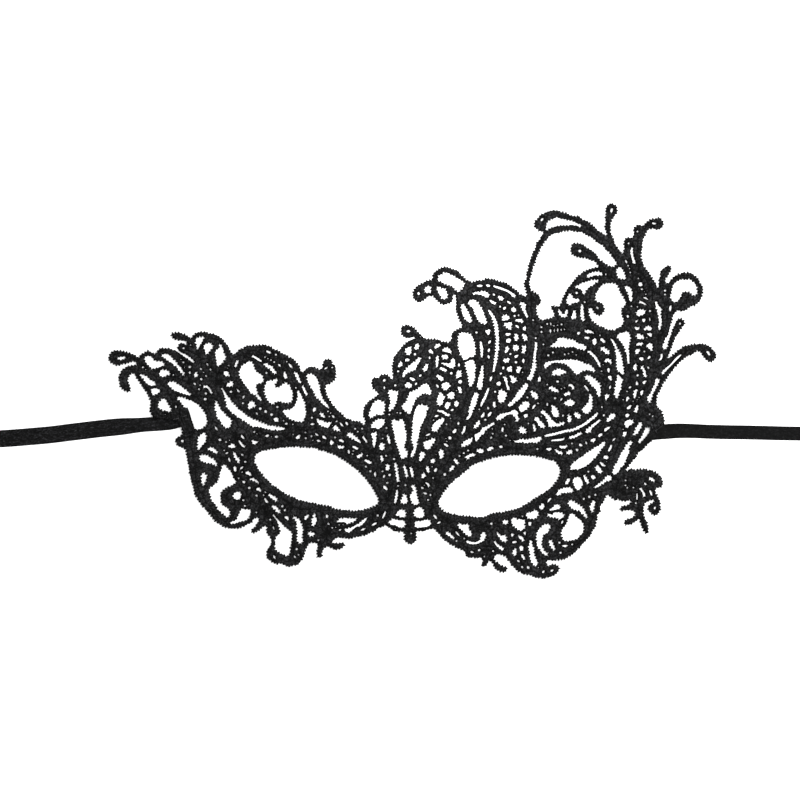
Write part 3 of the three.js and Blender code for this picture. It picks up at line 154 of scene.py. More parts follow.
# Fine openings too small for the solid: x, y, x, y and so on in millimetres, read one by one
FINE_OPENINGS = [
    [-123.9, 13.8, -123, 14.6, -120.1, 14.3, -119.9, 13.7, -122.2, 13, -123.3, 13.2],
    [-91.6, 6.3, -91.5, 7.3, -90.7, 8.4, -90.3, 8.2, -89.8, 5.9, -91.3, 5.8],
    [-91.9, 3.4, -91.2, 3.5, -90.7, 2.9, -90.9, 2.3],
    [-87.8, 1.9, -87, 2.5, -86, 2.2, -84.9, 1.2, -83.7, -1, -84, -1.8, -84.6, -1.4, -85.1, 0.2, -86, 1.3,
     -87.3, 1.4],
    [-79.3, 7.6, -78.6, 8.4, -77.5, 8.6, -76.3, 6.8, -76.5, 5.8, -78.8, 6.7],
    [-77.8, 2.8, -76, 4.3, -75.2, 4.3, -74.9, 2.1, -77.4, 1.8],
    [-74.7, 9.8, -73.7, 12.8, -72.9, 13.2, -72.9, 12.2, -73.8, 9.8, -74.2, 9.5],
    [-73.8, 1.1, -71.9, -0.4, -72.4, -0.7, -73.3, -0.2],
    [-86.2, -24.5, -85.2, -23.8, -82.9, -24, -81.6, -26.2],
    [-77.4, -23.2, -75.4, -21.9, -73.6, -23.3, -74, -23.9, -75.4, -23.9, -76.8, -23.8],
    [-72, -18.7, -71.4, -18.3, -69.9, -20.4, -71.5, -19.6],
    [-73.1, -20.6, -72.3, -20.8, -70.7, -22.8, -69.9, -22.9, -69.8, -23.7, -70.8, -23.9],
    [-67.2, -20.3, -66.6, -20.9, -64.5, -21.2, -64.4, -21.7, -65.6, -21.9, -66, -22.5, -66.8, -22.4],
    [-75.4, -26, -74.9, -25.4, -74, -26.2, -73.4, -27.5, -72.4, -27.8, -72.3, -29.9, -73, -30.6],
    [-77.3, -28.2, -76.6, -27.8, -76.1, -29.9, -76.7, -29.8],
    [-75.1, -31.6, -74.1, -31.6, -73.7, -32.8, -73.9, -34.1, -74.4, -34.4],
    [-70.1, -34.7, -69.5, -33.6, -68.7, -33.4, -67.2, -35.2, -67.2, -35.9],
    [-71.6, -37.2, -71, -37.8, -70.2, -37.6, -69.8, -38.2, -70.1, -38.9, -70.9, -38.8],
    [-68.4, -36.8, -66.3, -36.5, -63.9, -38.9, -64.4, -39, -65.3, -38.3, -67.7, -37.5],
    [-65.5, -41.2, -65, -40.6, -64.1, -40.5, -63, -42.6, -63.6, -42.7, -64.1, -41.9, -65, -41.9],
    [-62.1, -44.8, -61.4, -44.8, -61.1, -45.8, -60.5, -46.2, -60, -45.7, -60.8, -47.1, -61.5, -46.4],
    [-60.2, -43.2, -59.6, -42.9, -59, -43.7, -56.8, -44.9, -56.1, -45.7, -56.4, -46.5, -57.3, -46.4, -59.2,
     -45, -60, -44.2],
    [-59, -48, -57.3, -48.3, -56.4, -49, -55.1, -50.6, -55.5, -51.6, -57.3, -50.3],
    [-58.9, -55.6, -57.6, -58.2, -58.1, -58.5, -58.5, -57.5, -58.3, -56.6],
    [-52.1, 11.8, -51.3, 11.5, -49.9, 9.7, -50.3, 9.4, -51, 9.9],
    [-49.8, 8, -48.9, 8.3, -48.3, 8, -46.3, 3.4, -46.8, 2.9, -48.6, 5.2],
    [-46.3, 2.3, -45.7, 2.4, -44.1, -0.8, -43.8, -1.7, -44.2, -2, -45.3, -0.4],
    [-53.9, 8.4, -53.4, 8.3, -52.3, 5.9, -52.5, 5.1, -53.3, 5.1, -53.8, 5.6],
    [-41.5, -7.3, -41, -6.7, -40.4, -6.8, -40.2, -7.6, -40.6, -8.5, -41.6, -8.8],
    [-38.9, -9, -38.2, -8.8, -36.6, -10.2, -36, -11.1, -36.3, -11.6, -38.4, -10.5],
    [-33.3, -15.2, -32.1, -14.2, -30.8, -15.9, -30, -16.2, -30.3, -17, -33.5, -16],
    [-30.7, -13.1, -30.2, -13.1, -28.4, -14.9, -29.1, -15.1],
    [-28, -12.9, -27.2, -12.8, -26.7, -14.4, -27.4, -14.4, -28, -13.7],
    [-21.1, -18.8, -20.6, -18.8, -18.2, -21.9, -18.6, -22.2, -19.4, -21.4],
    [-48.9, -19.9, -48.4, -19, -46.9, -18.2, -47.4, -20.2],
    [-37.8, -19.4, -37.3, -18.5, -36, -19.8, -35.8, -20.5],
    [-34.4, -22.4, -34.3, -20.7, -33.6, -20.3, -33.3, -21.2, -32.4, -21.4, -33.7, -22.7],
    [-30.8, -21.2, -30.3, -20.1, -28.4, -21.1, -28.6, -21.7, -30.4, -21],
    [-31.5, -23.2, -30.8, -22.5, -29.3, -23.2, -28.4, -22.9, -28.4, -24.5, -28.8, -24.9, -29.3, -24.2, -30,
     -24.1, -30.6, -24.5],
    [-25.1, -23.7, -24.7, -22.8, -24, -23, -22.5, -23.9, -22.6, -24.6, -23.3, -24.8],
    [-27.1, -25.2, -26.5, -24.4, -25.7, -26, -26.3, -26.6],
    [-23.3, -27.9, -22.9, -27, -21.5, -26.5, -21.2, -25.7, -20.7, -25.9, -21, -28, -21.8, -28, -22.9,
     -28.7],
    [-20, -28.6, -17.2, -29.7, -16.6, -30.2, -16.6, -30.9, -17.3, -30.5, -18.3, -30.6],
    [-15.4, -33.6, -15, -35.5, -15.2, -36.3, -16, -34.8],
    [-53.7, -52.8, -52.2, -52.4, -51.6, -54.2, -51.9, -54.5],
    [-45.4, -53.2, -43.6, -51.8, -43, -51.9, -44.5, -54.4, -45.2, -54],
    [-36.3, -52.2, -35.7, -51.7, -34.9, -52.6, -35.9, -53.5],
    [-44, -59.7, -43.7, -59, -42.8, -58.9, -41.7, -59.6, -40.3, -59, -41.2, -60.7, -42, -61.3, -43.8,
     -60.4],
    [-13.5, -22.5, -12.8, -21.3, -12.2, -21.6, -11.5, -22.4, -11.3, -24.8, -13.3, -24.7],
    [-10.6, -18.3, -10, -18, -9.5, -19.2, -9, -22.8, -9.5, -22.8],
    [-13.3, -26.8, -12.9, -26.4, -12.3, -27, -12.2, -28, -11.5, -28.2, -12.3, -29.8, -12.9, -29.9],
    [-10.8, -30.4, -9.5, -31, -9.6, -33.5, -10.5, -33.6, -11.2, -33],
    [-3.8, -31.3, -3.3, -30.9, -2.3, -32.5, -1.4, -35.5, -2.6, -36.7, -3, -36.2, -2.9, -35],
    [-0.8, -31.6, -0.3, -31.4, 0.2, -31.9, 0.8, -36.6, 0.3, -36.6, -0.6, -34.8, -1, -32.8],
    [-12.2, -40.3, -11.7, -39.4, -11, -39.9, -10.3, -40.8, -10.2, -41.8, -10.8, -41.8],
    [-6.3, -41.2, -5.9, -41.2, -6, -44.4, -7.1, -47.8, -7.6, -47],
    [-12.7, -53.3, -11.4, -50.4, -10.7, -50.5, -12.1, -53.6],
    [-17.1, -56.5, -16.4, -55.8, -14.6, -55, -14, -55.1, -16.3, -56.5],
    [8.8, -51.9, 9.4, -51.9, 10.2, -52.7, 10.6, -53.5, 10.4, -54.2],
    [10.4, -55.8, 11, -54.9, 11.8, -54.6, 12.3, -54.9, 11.8, -55.5],
    [13.9, -59.7, 14.3, -59, 15, -58.8, 17.9, -61.8, 17.8, -62.4, 15.3, -61],
    [18, -58.9, 18.7, -59, 20.4, -61.2, 19.8, -61.1],
    [3.6, -25.9, 4.1, -25.2, 5.6, -26.1, 5.6, -26.8, 4.1, -29, 3.8, -30.1, 3.3, -30, 3.2, -29.2],
    [5.6, -18.7, 7.8, -17.6, 7.9, -18, 7.2, -18.6, 5.8, -19.1],
    [10.4, -7.8, 10.9, -7.7, 11.5, -8.3, 13.3, -8.1, 14.6, -9.4, 16.3, -9.8, 16.4, -10.4, 14.6, -10.5, 12.2,
     -8.9, 10.5, -8.4],
    [14.3, -4.7, 16.1, -4.6, 16.5, -5.3, 14.9, -7.9, 13.7, -6.7],
    [17.6, -5.2, 18.4, -4, 19, -4, 19.7, -5.6, 18.5, -6.8],
    [15, -1, 16.8, -0.1, 17.8, -0.6, 18.1, -1.5, 17.8, -2.6, 17, -3.3, 16, -3.2, 15.3, -2.8],
    [16.9, -17.4, 18.1, -15.7, 18.7, -16, 18.6, -17, 17.9, -17.8],
    [22, -14.3, 22.5, -14.5, 22.2, -16.9, 21, -18.3, 20.6, -18.2, 21.6, -16.2],
    [13.2, -22.1, 14, -21.7, 15.4, -22.9, 14.9, -23.6],
    [11.1, -26.3, 12, -23.6, 12.5, -24.3, 13.6, -26.4, 12.6, -29],
    [7.6, -29.6, 8.2, -28.6, 9.9, -28.2, 9.2, -30.4, 7.9, -30.1],
    [5.9, -32, 6.3, -31.1, 6.9, -31.4, 7.7, -34.2, 6.8, -34.4, 6, -33.9],
    [9.1, -33.7, 9.9, -32.1, 10.6, -32.3, 10.6, -33.3, 10, -34.1],
    [4.4, -34.5, 4.9, -33.7, 6, -35.6, 4.9, -36.8, 4.2, -36.9, 3.9, -36.2],
    [5.4, -38.6, 6.6, -38.3, 7.6, -39.9, 7.3, -40.5, 6.5, -40.7, 6.7, -39.9],
    [15.5, -33, 16.7, -31.8, 17, -30.8, 18.2, -31.5, 17.9, -32.5, 15.9, -34.1, 15.4, -33.7],
    [17.6, -28.5, 18.8, -28.5, 19.6, -30, 20.4, -30.2, 19.9, -30.8, 18.2, -30.5],
    [-2.8, 17, -1.6, 18.6, -0.6, 18.6, 0, 16.6, -0.6, 15.5, -1.5, 14.9, -2.8, 16],
    [1, 17.5, 1.2, 19, 1.9, 19.9, 2.9, 20, 2.9, 17.6, 2, 17.3],
    [-3, 12.9, -2.6, 13.8, -0.9, 13.4, -1.2, 12.6, -2.9, 12.4],
    [-5.8, 11, -4.9, 12.6, -3.8, 11.2, -4.5, 10.3, -5.8, 9.9],
    [-1.2, 5.5, -0.5, 5.9, 1.6, 4.9, 1.4, 4.3, 0.3, 4.1],
    [-2.9, 2, -2.7, 3.1, -2, 3.8, -1, 3.8, 0, 2.2, -0.4, 1.4, -1.3, 1],
    [4.4, 9.2, 5, 8.1, 5.8, 8.3, 6.7, 9.8, 6.7, 11.8, 6.1, 11.5, 5.1, 9.7],
    [7, 16.3, 7.2, 17.4, 7.8, 17.7, 9.1, 16.2, 8.7, 15.6],
    [9.4, 18, 9.7, 19.3, 10.3, 19.9, 11.6, 19.9, 12.3, 19.3, 9.9, 17.7],
    [12.3, 17.1, 14, 18.4, 15.4, 18.3, 16.7, 16.6, 16.6, 15.8, 16, 15.7],
    [12.3, 14.9, 13, 15.4, 15, 15.3, 14.9, 13.4, 13, 13.5, 12.4, 14.1],
    [10.2, 14.6, 10.8, 15.3, 11.3, 15, 11.1, 12.3, 10.5, 9.8, 10.1, 9.7],
    [11.7, 9.9, 12.6, 10, 14.4, 9.2, 15.2, 8.2, 12.6, 8.6],
    [10.2, 6.7, 11.5, 6.7, 12.6, 6.1, 13.5, 5.2, 13, 4.3, 12.4, 4],
    [10, 3, 11.3, 2.2, 11.4, 1.4, 10.8, 1.3],
    [18.2, 5.9, 18.9, 8.2, 19.7, 8.9, 21.2, 7.7, 20.9, 6.6, 19.6, 5.3, 18.8, 5.2],
    [19.4, 4.1, 20, 4.9, 20.9, 4.7, 21.1, 3.8, 20.6, 3, 19.9, 3],
    [19.1, 1.1, 19.8, 1.9, 20.5, 1.9, 20.9, 0.8, 20.8, -1.5, 20.2, -1.3],
    [5.1, 42, 5.1, 43.2, 6, 43.8, 7.2, 44.1, 7.8, 43.7, 8.2, 41.5, 5.2, 41.3],
    [33.9, 44.2, 35.8, 44, 40.3, 42.3, 43.7, 40.2, 43.7, 39.7, 43.1, 39.2, 40, 41.7, 34.1, 43.8],
    [36.1, 39.8, 36.6, 40.1, 37.5, 39.7, 38.4, 39.2, 38.6, 38.6, 37.3, 37.8, 36.2, 39],
    [32.4, 38.4, 35.2, 37.2, 35.5, 36.7, 35, 36.3, 33.2, 37.2],
    [40, 38, 41.8, 36.9, 41.4, 36.4, 40, 37.3],
    [45.2, 37, 45.8, 37.4, 47.5, 36.8, 48, 33, 48.8, 30.8, 48.4, 30.5],
    [38, 34.8, 38.6, 35.4, 39.6, 35.4, 39.4, 34.6, 38.6, 34],
    [41.5, 34.2, 42.9, 35.4, 44, 33.9, 42.8, 32.9],
    [28.6, 21.2, 29, 21.5, 29.8, 18, 29.5, 13.7, 29, 13.8],
    [30.7, 25, 31.2, 25.6, 32.7, 26, 32.8, 25, 32.3, 23.5],
    [37.9, 31.7, 38.2, 32, 39.8, 31.9, 41.2, 31, 40.9, 30.2, 38.3, 29.4],
    [43.2, 29.8, 45.8, 30.5, 46.9, 29.2, 46.6, 28.7, 43.5, 29.4],
    [43.2, 27.4, 43.6, 27.8, 44.4, 27.6, 45, 26.9, 44.9, 26.2],
    [46.4, 26.1, 47.4, 27.5, 47.9, 27.2, 47.7, 25.2, 47.2, 25.2],
    [39.2, 24.3, 41.4, 24.4, 41.7, 23.9, 39.9, 22.9],
    [42.9, 23.2, 43.9, 24.7, 44.5, 24.1, 44.9, 23, 44.8, 21.8, 44, 20.7, 43.2, 21.1],
    [46.1, 23.9, 47, 24, 48.3, 23.5, 48.2, 21, 46.4, 21.8, 46.6, 22.8],
    [39.5, 21.1, 39.9, 22, 40.9, 22.3, 41.6, 21.9, 41.6, 21, 41, 20.3, 39.7, 20.4],
    [42.5, 18.6, 43, 19.5, 44, 19.6, 45, 19.1, 44.8, 17.2, 42.9, 16.7, 42.5, 17.2],
    [45.9, 19.2, 46.5, 18.9, 47.2, 19.3, 48, 19.2, 47.6, 16.8, 47.2, 15.8, 46.7, 15.6, 46, 17.4, 46.4,
     18.3],
    [39.6, 18.7, 40.4, 18.8, 40.9, 18, 40.2, 16.2, 38.8, 16.1],
    [42.9, 14.5, 43.6, 15.1, 44.9, 15.3, 43.9, 13.8, 43.2, 13.9],
    [38.3, 13.3, 41, 13.8, 40.4, 12, 39.3, 11.8, 38.5, 12.2],
    [39.9, 8.2, 39.9, 9.8, 41, 10.1, 41.6, 10.9, 42, 10.1, 41.7, 9.2, 42.3, 8.1],
    [43.7, 8.3, 43.8, 9.1, 44.8, 10.6, 45.4, 10.8, 46.1, 9.6, 45.2, 7.7, 44.6, 7.2],
    [37.9, 6.2, 38.8, 6.2, 39.2, 6.8, 40.2, 5.3, 40.1, 2.6, 41.1, 1.2, 41, 0.3, 40.5, 0.1, 40.1, 0.8, 39.2,
     4],
    [41, 6.7, 41.8, 6.1, 42.7, 6.1, 44.2, 4.7, 43.9, 3.9, 43.1, 3.7, 42.7, 3.1, 41.3, 4, 41.9, 4.8],
    [35.3, 3, 36.5, 4.2, 37.3, 3.8, 37, 2.1],
    [50, 0.2, 51, 0.1, 53.6, -2.3, 52.6, -3.5, 50, -2],
    [53.2, 6, 53.6, 6.6, 54, 6, 54.1, 4, 52.8, 4],
    [32.2, 1.7, 32.7, 1.7, 30.6, -4.2, 30, -4.7, 29, -7, 28.7, -6.7, 29, -5.2],
    [35.2, -4.3, 34.4, -4.4, 34, -5, 34, -5.9, 34.9, -7.1, 35.4, -6.8, 35.3, -6.2, 34.9, -6.1],
    [33.2, -8.5, 33.6, -9, 32.8, -10.4, 32.1, -11.1, 31.7, -10.9, 31.7, -10.2, 32.6, -8.8],
    [30.6, -8.7, 30.3, -10.5, 29.9, -11.1, 29, -11.4, 28.8, -10.3, 29.5, -10, 30.1, -8.8],
    [28.3, -12, 28.4, -14.1, 26.2, -16.1, 26, -15.5, 26.6, -13.9],
    [38, -15, 38.6, -15.1, 38.7, -15.8, 38.3, -16.4, 38.4, -17.1, 37.9, -17.4, 37.6, -16.6],
    [46.9, -9.8, 48.6, -9.6, 48.6, -10.9, 47.2, -11.3],
    [52.2, -5.6, 52, -6.3, 50.1, -8.1, 51.1, -5.9, 51.6, -5.5],
    [56.6, -5.1, 57.2, -4.9, 57.2, -6.3, 56.6, -6.2],
    [50.7, -13.5, 51.5, -13.5, 51.9, -15.2, 52.4, -15.4, 51.9, -16.9, 51.2, -17.4],
    [57.8, -21, 58.2, -21.4, 59, -20.9, 61, -21, 64, -20.4, 64.3, -19.9, 58.4, -20.6],
    [65.5, -20, 67.4, -20, 71, -18.2, 71.5, -17.6, 71.1, -17, 68.3, -18.5, 65.7, -19.2],
    [27, -24.8, 27.7, -24.3, 30, -24.2, 30.3, -25, 30.1, -25.8, 28.8, -26.2, 27.3, -25.4],
    [31.3, -24.9, 31.7, -24.2, 33.4, -23.3, 34.9, -23.6, 33, -25],
    [36.4, -23.3, 37.6, -22.7, 38.3, -23.8, 36.9, -23.9],
    [22.5, -28.5, 22.7, -27.2, 26.2, -26.1, 26.6, -27.3, 24.9, -27.4, 23.7, -28.8, 22.9, -28.9],
    [56.2, -24, 58.4, -23.8, 58.9, -24.2, 57.9, -25.2, 56.4, -24.6],
    [60.2, -24, 60.9, -24, 61, -24.8, 63.1, -25.4, 63.4, -26.8, 62.6, -26.9, 60, -25.1],
    [56.7, -46.9, 57.2, -46.9, 58.2, -45.5, 59.5, -44.7, 57.7, -45.2],
    [55, -47, 55.9, -48, 54.4, -50.3, 54.1, -49.6, 53, -49],
    [38.3, -54.2, 39.7, -54.3, 40, -53.7, 40.3, -53.9, 40.6, -55.4, 40.3, -55.9, 38.1, -55.9, 37.9, -55.1],
    [49, -54.8, 50.4, -55, 49.8, -56.8, 49.2, -56.7, 48.8, -56],
    [41.5, -60, 42.2, -59.6, 43.3, -60.3, 42.5, -60.6, 42, -61.7, 41.6, -61.4, 41.8, -60.6],
    [47, -59, 47.5, -58.8, 47.9, -59.3, 47.6, -60.9, 46.6, -59.4],
    [44.4, -60.4, 44.8, -60.2, 45.3, -61, 46.6, -61, 47.3, -62.9, 46.6, -63.3, 45.9, -63],
    [42, -63.3, 43.3, -62.9, 44, -63, 44.2, -63.6, 42.2, -64],
    [45.2, -65.1, 46.6, -65, 46.9, -66.5, 46.4, -67.2, 45.6, -67.2, 45.1, -66.6],
    [43.7, -65.7, 44.1, -68.1, 43, -69.5, 42.5, -69.1, 42.1, -67.6, 42.5, -66.4],
    [46.2, -68.3, 47.2, -69.2, 47.6, -71.2, 46.9, -70.9, 45.7, -69.2, 45.7, -68.6],
    [34.4, -62.6, 34.9, -62.7, 35.6, -64.1, 38.5, -65.8, 39.1, -66.5, 39, -67, 37.4, -66.7, 36.6, -66.1,
     34.9, -64.1],
    [84, 77, 84.5, 76.5, 84, 74.8, 83.5, 74.5, 83.3, 76],
    [92.8, 61.2, 91.8, 59, 92.5, 55, 93.2, 53.1, 93.9, 52.8, 94, 53.5, 92.9, 57],
    [89.3, 55, 90, 55.1, 90.6, 53.8, 90.3, 53.2],
    [95, 45, 96.2, 45.9, 96.7, 45.5, 96.9, 44.2, 95.6, 43.8],
    [96.9, 39.1, 97.8, 39.6, 98.5, 39.3, 99.2, 38.3, 98.7, 38.1, 98.3, 38.8],
    [95, 37.5, 95.4, 37.9, 97, 37.3, 98.9, 36, 98.7, 35.7, 96.6, 36.9, 95.2, 36.9],
    [68.3, 34.2, 68.8, 33.9, 69, 30.1, 66.8, 30.5],
    [90.1, 31.9, 90.8, 32, 91.2, 31.4, 90.9, 30.7, 90.4, 30.7],
    [70, 24.9, 70.9, 24.8, 70.1, 23.6, 69.4, 23.7, 69.3, 24.4],
    [72.3, 25.2, 72.8, 25.7, 73.6, 25.4, 74.4, 25.7, 77, 23.9, 77, 23.5, 75.7, 24.4, 73.6, 24],
    [72.1, 22.4, 72.7, 22.9, 73.6, 22.9, 74.5, 22.8, 74.8, 22.3, 74.2, 21.7],
    [76, 21.9, 76.8, 22.3, 77.5, 22.1, 77.5, 20.3, 76.5, 19, 75.7, 20.6, 75.6, 21.3],
    [79.8, 22.5, 81.7, 20, 80.1, 20.5, 79, 21.5, 79, 22.2],
    [82, 13.7, 82.9, 13.8, 83.5, 13.3, 83.9, 12.4, 83.8, 11.4, 83.4, 11.2, 82.5, 12.4, 81.2, 12, 80.6,
     12.3],
    [82, 9.5, 82.6, 9.8, 83.2, 9.3, 83, 7.8, 82.6, 7.5, 82.2, 7.8],
    [82.2, 6.2, 83.7, 6.6, 84, 4.3, 83.6, 4.1, 82.6, 5.1],
    [81.2, -1.2, 82.8, -1.3, 82.9, -2, 81.7, -3.3, 81.9, -3.9, 81.6, -4.3, 81.1, -2.9],
    [57.2, 1.4, 58, 2.1, 58.8, 2.2, 61.2, 1, 62.1, -0.4, 61.7, -1, 61, -0.9],
    [65.3, 2.6, 66.8, 2.9, 67.6, 2.4, 68.5, 1.2, 68.3, 0.5, 67.7, 0.3, 67.2, 0.6, 67, 1.9, 65.6, 2.2],
    [66.4, -0.2, 66.5, -1.6, 65.1, -1.7, 64.5, -2.4, 63.3, -1.4, 63.6, -1],
    [69.2, -8.6, 70.2, -9.8, 71.1, -9.7, 70.7, -11.5, 70.2, -11.8, 67.9, -9.7],
    [65.4, -9.6, 66.1, -9.6, 67.2, -11.5, 67.1, -12.4, 65.5, -13.6, 65.5, -11.4, 65.1, -10.6],
    [72.1, 2.5, 73.2, 1.9, 74.4, 0, 74.2, -0.4],
    [83.4, -15, 82.7, -14.9, 80.6, -16.2, 81.3, -17.4, 81.9, -16.3, 83.4, -15.5],
    [79.3, -17.7, 80, -17.8, 80.2, -18.4, 79.1, -19, 78.8, -19.6, 78.3, -19.4, 78, -18.8],
    [74.8, -20.6, 75.4, -20.1, 77.6, -19.8, 76.2, -21.6, 75.6, -21.5],
    [85.5, -19.5, 85.6, -19.9, 84, -21.3, 84.5, -20.2],
    [70.3, -22, 70.9, -22, 71.8, -22.8, 71.6, -23.3, 70, -23],
    [83.8, -22.3, 84, -23.3, 83, -25.4, 82.5, -25.7, 82.3, -25.2],
    [61.7, -23, 64.3, -23, 65, -22.6, 65.5, -22.9, 65, -23.6, 63.6, -24.2, 62, -24],
    [66.3, -24.4, 67.8, -25.2, 67.7, -25.8, 66.4, -26.6, 65, -26.6, 64.5, -26],
    [68.5, -24.3, 70, -24.2, 69.4, -25.6],
    [81.4, -26.8, 82.7, -27.7, 82.2, -28.7, 81.5, -28.9, 80.3, -28, 80.6, -27.3],
    [78.6, -29.9, 80, -30, 81.3, -31.2, 81.4, -31.9, 80.4, -31.5, 79.8, -31.8],
    [78.3, -31, 79.9, -33.5, 79.6, -34.5, 79, -34.8, 76.9, -32.7, 76.8, -32.1],
    [90, -9.5, 91.3, -9.6, 91.5, -10.3, 90.3, -11.3, 89.5, -10.4],
    [88.6, -17, 90.3, -16.9, 90.4, -17.5, 89.2, -19.5, 88.4, -18.7, 88.8, -18.1],
    [91.9, -5.7, 92.4, -6.2, 91.2, -7.8, 89.9, -7.3],
    [94.8, -5.7, 95.1, -6.3, 94.9, -8.2, 94.2, -9.9, 93.2, -7.9],
    [90.3, -2.1, 91.6, -3, 90.6, -3.9, 90, -5.2, 89.8, -4.6],
    [94.8, 1, 94.3, -0.2, 94.3, -2, 93.6, -3.6, 93.2, -3.2, 92.8, -0.6, 93.1, 0],
    [97.3, 0.7, 96.4, -2.4, 95.8, -0.6],
    [91.8, 2.2, 92.3, 1.7, 90.7, 0.8],
    [94.4, 4.5, 95.2, 2.6, 94.6, 2.4, 93.9, 2.6],
    [98.3, 4.6, 98.7, 4.1, 98, 3.7, 97.9, 3, 97.4, 2.8, 96.6, 3.5],
    [96.5, 10.9, 97.1, 10.6, 98.3, 8.3, 98.2, 7.4, 98.4, 6.8, 99, 6.6, 99, 6.1, 97.6, 5.7, 97.1, 5.9, 97,
     8.2, 95.8, 10],
    [93.5, 11.2, 94.4, 11.4, 94.9, 10.9, 94.2, 9.7, 94.9, 8.9, 94.6, 8.5, 93, 8.8, 92.8, 9.5],
    [95.3, 13.9, 96.8, 14.3, 97.6, 13.3, 96.5, 12.6, 95.5, 13.3],
    [93.8, 17.4, 95.5, 17.9, 95.9, 17.3, 95.2, 15.9, 94.5, 15.4, 93.8, 15.9],
    [94, 19.3, 95, 20.3, 96.6, 20.5, 97.3, 20.2, 97.2, 19.7, 95.7, 19, 95, 19.3, 94, 18.7],
    [95.2, 24.2, 95.8, 23.6, 97.2, 23.5, 97.8, 22.1, 97.3, 21.7, 96.5, 22, 95.8, 21.6, 95, 21.8, 94, 22.9,
     93.9, 23.6],
    [93.8, 27.2, 94.6, 26.6, 95.6, 27.1, 95.8, 26.5, 95.4, 25.9, 94, 25.7, 93.4, 26.8],
    [95.2, 30.1, 94, 28.5, 93.7, 29, 94, 29.4],
    [96.5, 30.1, 97.3, 30.5, 98.1, 30.4, 98.3, 30, 97.5, 28.7, 97.1, 28.8],
    [65.8, -36.6, 66.7, -37, 65.6, -39.2, 65.1, -39.4, 64.1, -38.8, 64.6, -38.4, 64.6, -37.7],
    [72.2, -35, 72.8, -35.2, 72.9, -36, 74.2, -36.8, 74.4, -37.4, 74, -39, 73.5, -39.2, 72.5, -37.9, 71.9,
     -35.8],
    [75, -35.7, 76.3, -35.2, 77.4, -36.3, 77, -36.8, 75.8, -37.1],
    [76.3, -45.5, 77, -45.4, 76.9, -47.6, 75.9, -51.2, 75.3, -51.3, 74.8, -49, 75.3, -47],
    [57.6, -50.1, 60.2, -47.8, 61.9, -47.4, 62.5, -48, 62.1, -49.5, 58.6, -50.4],
    [62.8, -54.4, 63.4, -54.1, 63.6, -54.5, 63.2, -55.8, 62.6, -55.9],
    [62.6, -64.7, 65.8, -64.7, 64.4, -65.6],
    [94, -42.8, 94.5, -43, 94.8, -43.8, 94.6, -46, 94.2, -46, 94.4, -43.8],
    [95.8, -40.3, 98.2, -43.6, 97.5, -44.9, 97.1, -44.6, 96.9, -43, 95.7, -40.8],
    [99.6, 31, 100.1, 30.3, 99.9, 29],
    [97.4, 25.5, 97.9, 26.9, 99, 27.6, 99.8, 27.4, 100.3, 27.7, 100.6, 25.6, 100, 25.1, 98.4, 25.7],
    [98.4, 24.2, 99.6, 24.3, 99.9, 24.8, 101, 23.7, 100.2, 22.6],
    [98.1, 19, 99.5, 20, 99.9, 20.8, 100.4, 20.7, 101.1, 18.5, 100.8, 17, 100.4, 16.6, 99.2, 18.6],
    [99.9, 15, 100.3, 14.6, 100.2, 14.1, 99.2, 13.3, 98.7, 13.6],
    [104.6, 15.9, 105.4, 15.3, 104.8, 13.3, 103.9, 12.6, 103.6, 13, 104.4, 13.8],
    [123.4, 16.6, 124, 16.9, 124.7, 16.7, 125.3, 15, 125, 14.7],
    [99.7, -35.6, 99.9, -36.2, 101.5, -36.8, 102.1, -38.2, 100.7, -37.8, 100.2, -37.2, 99.6, -37.4],
    [99.5, -41.6, 100.2, -41.5, 101, -43, 101.1, -43.8, 100.6, -44.2],
    [100.7, 70.8, 102.8, 70.5, 102.6, 70.1, 101, 70],
    [108.2, 35.9, 108.7, 36.2, 109.1, 35.6, 108.5, 33.1, 108.1, 33.6],
    [-57.8, -11.2, -56.4, -11.1, -55.9, -12, -56.3, -13.1, -57.9, -12.6, -58.2, -12.2],
]
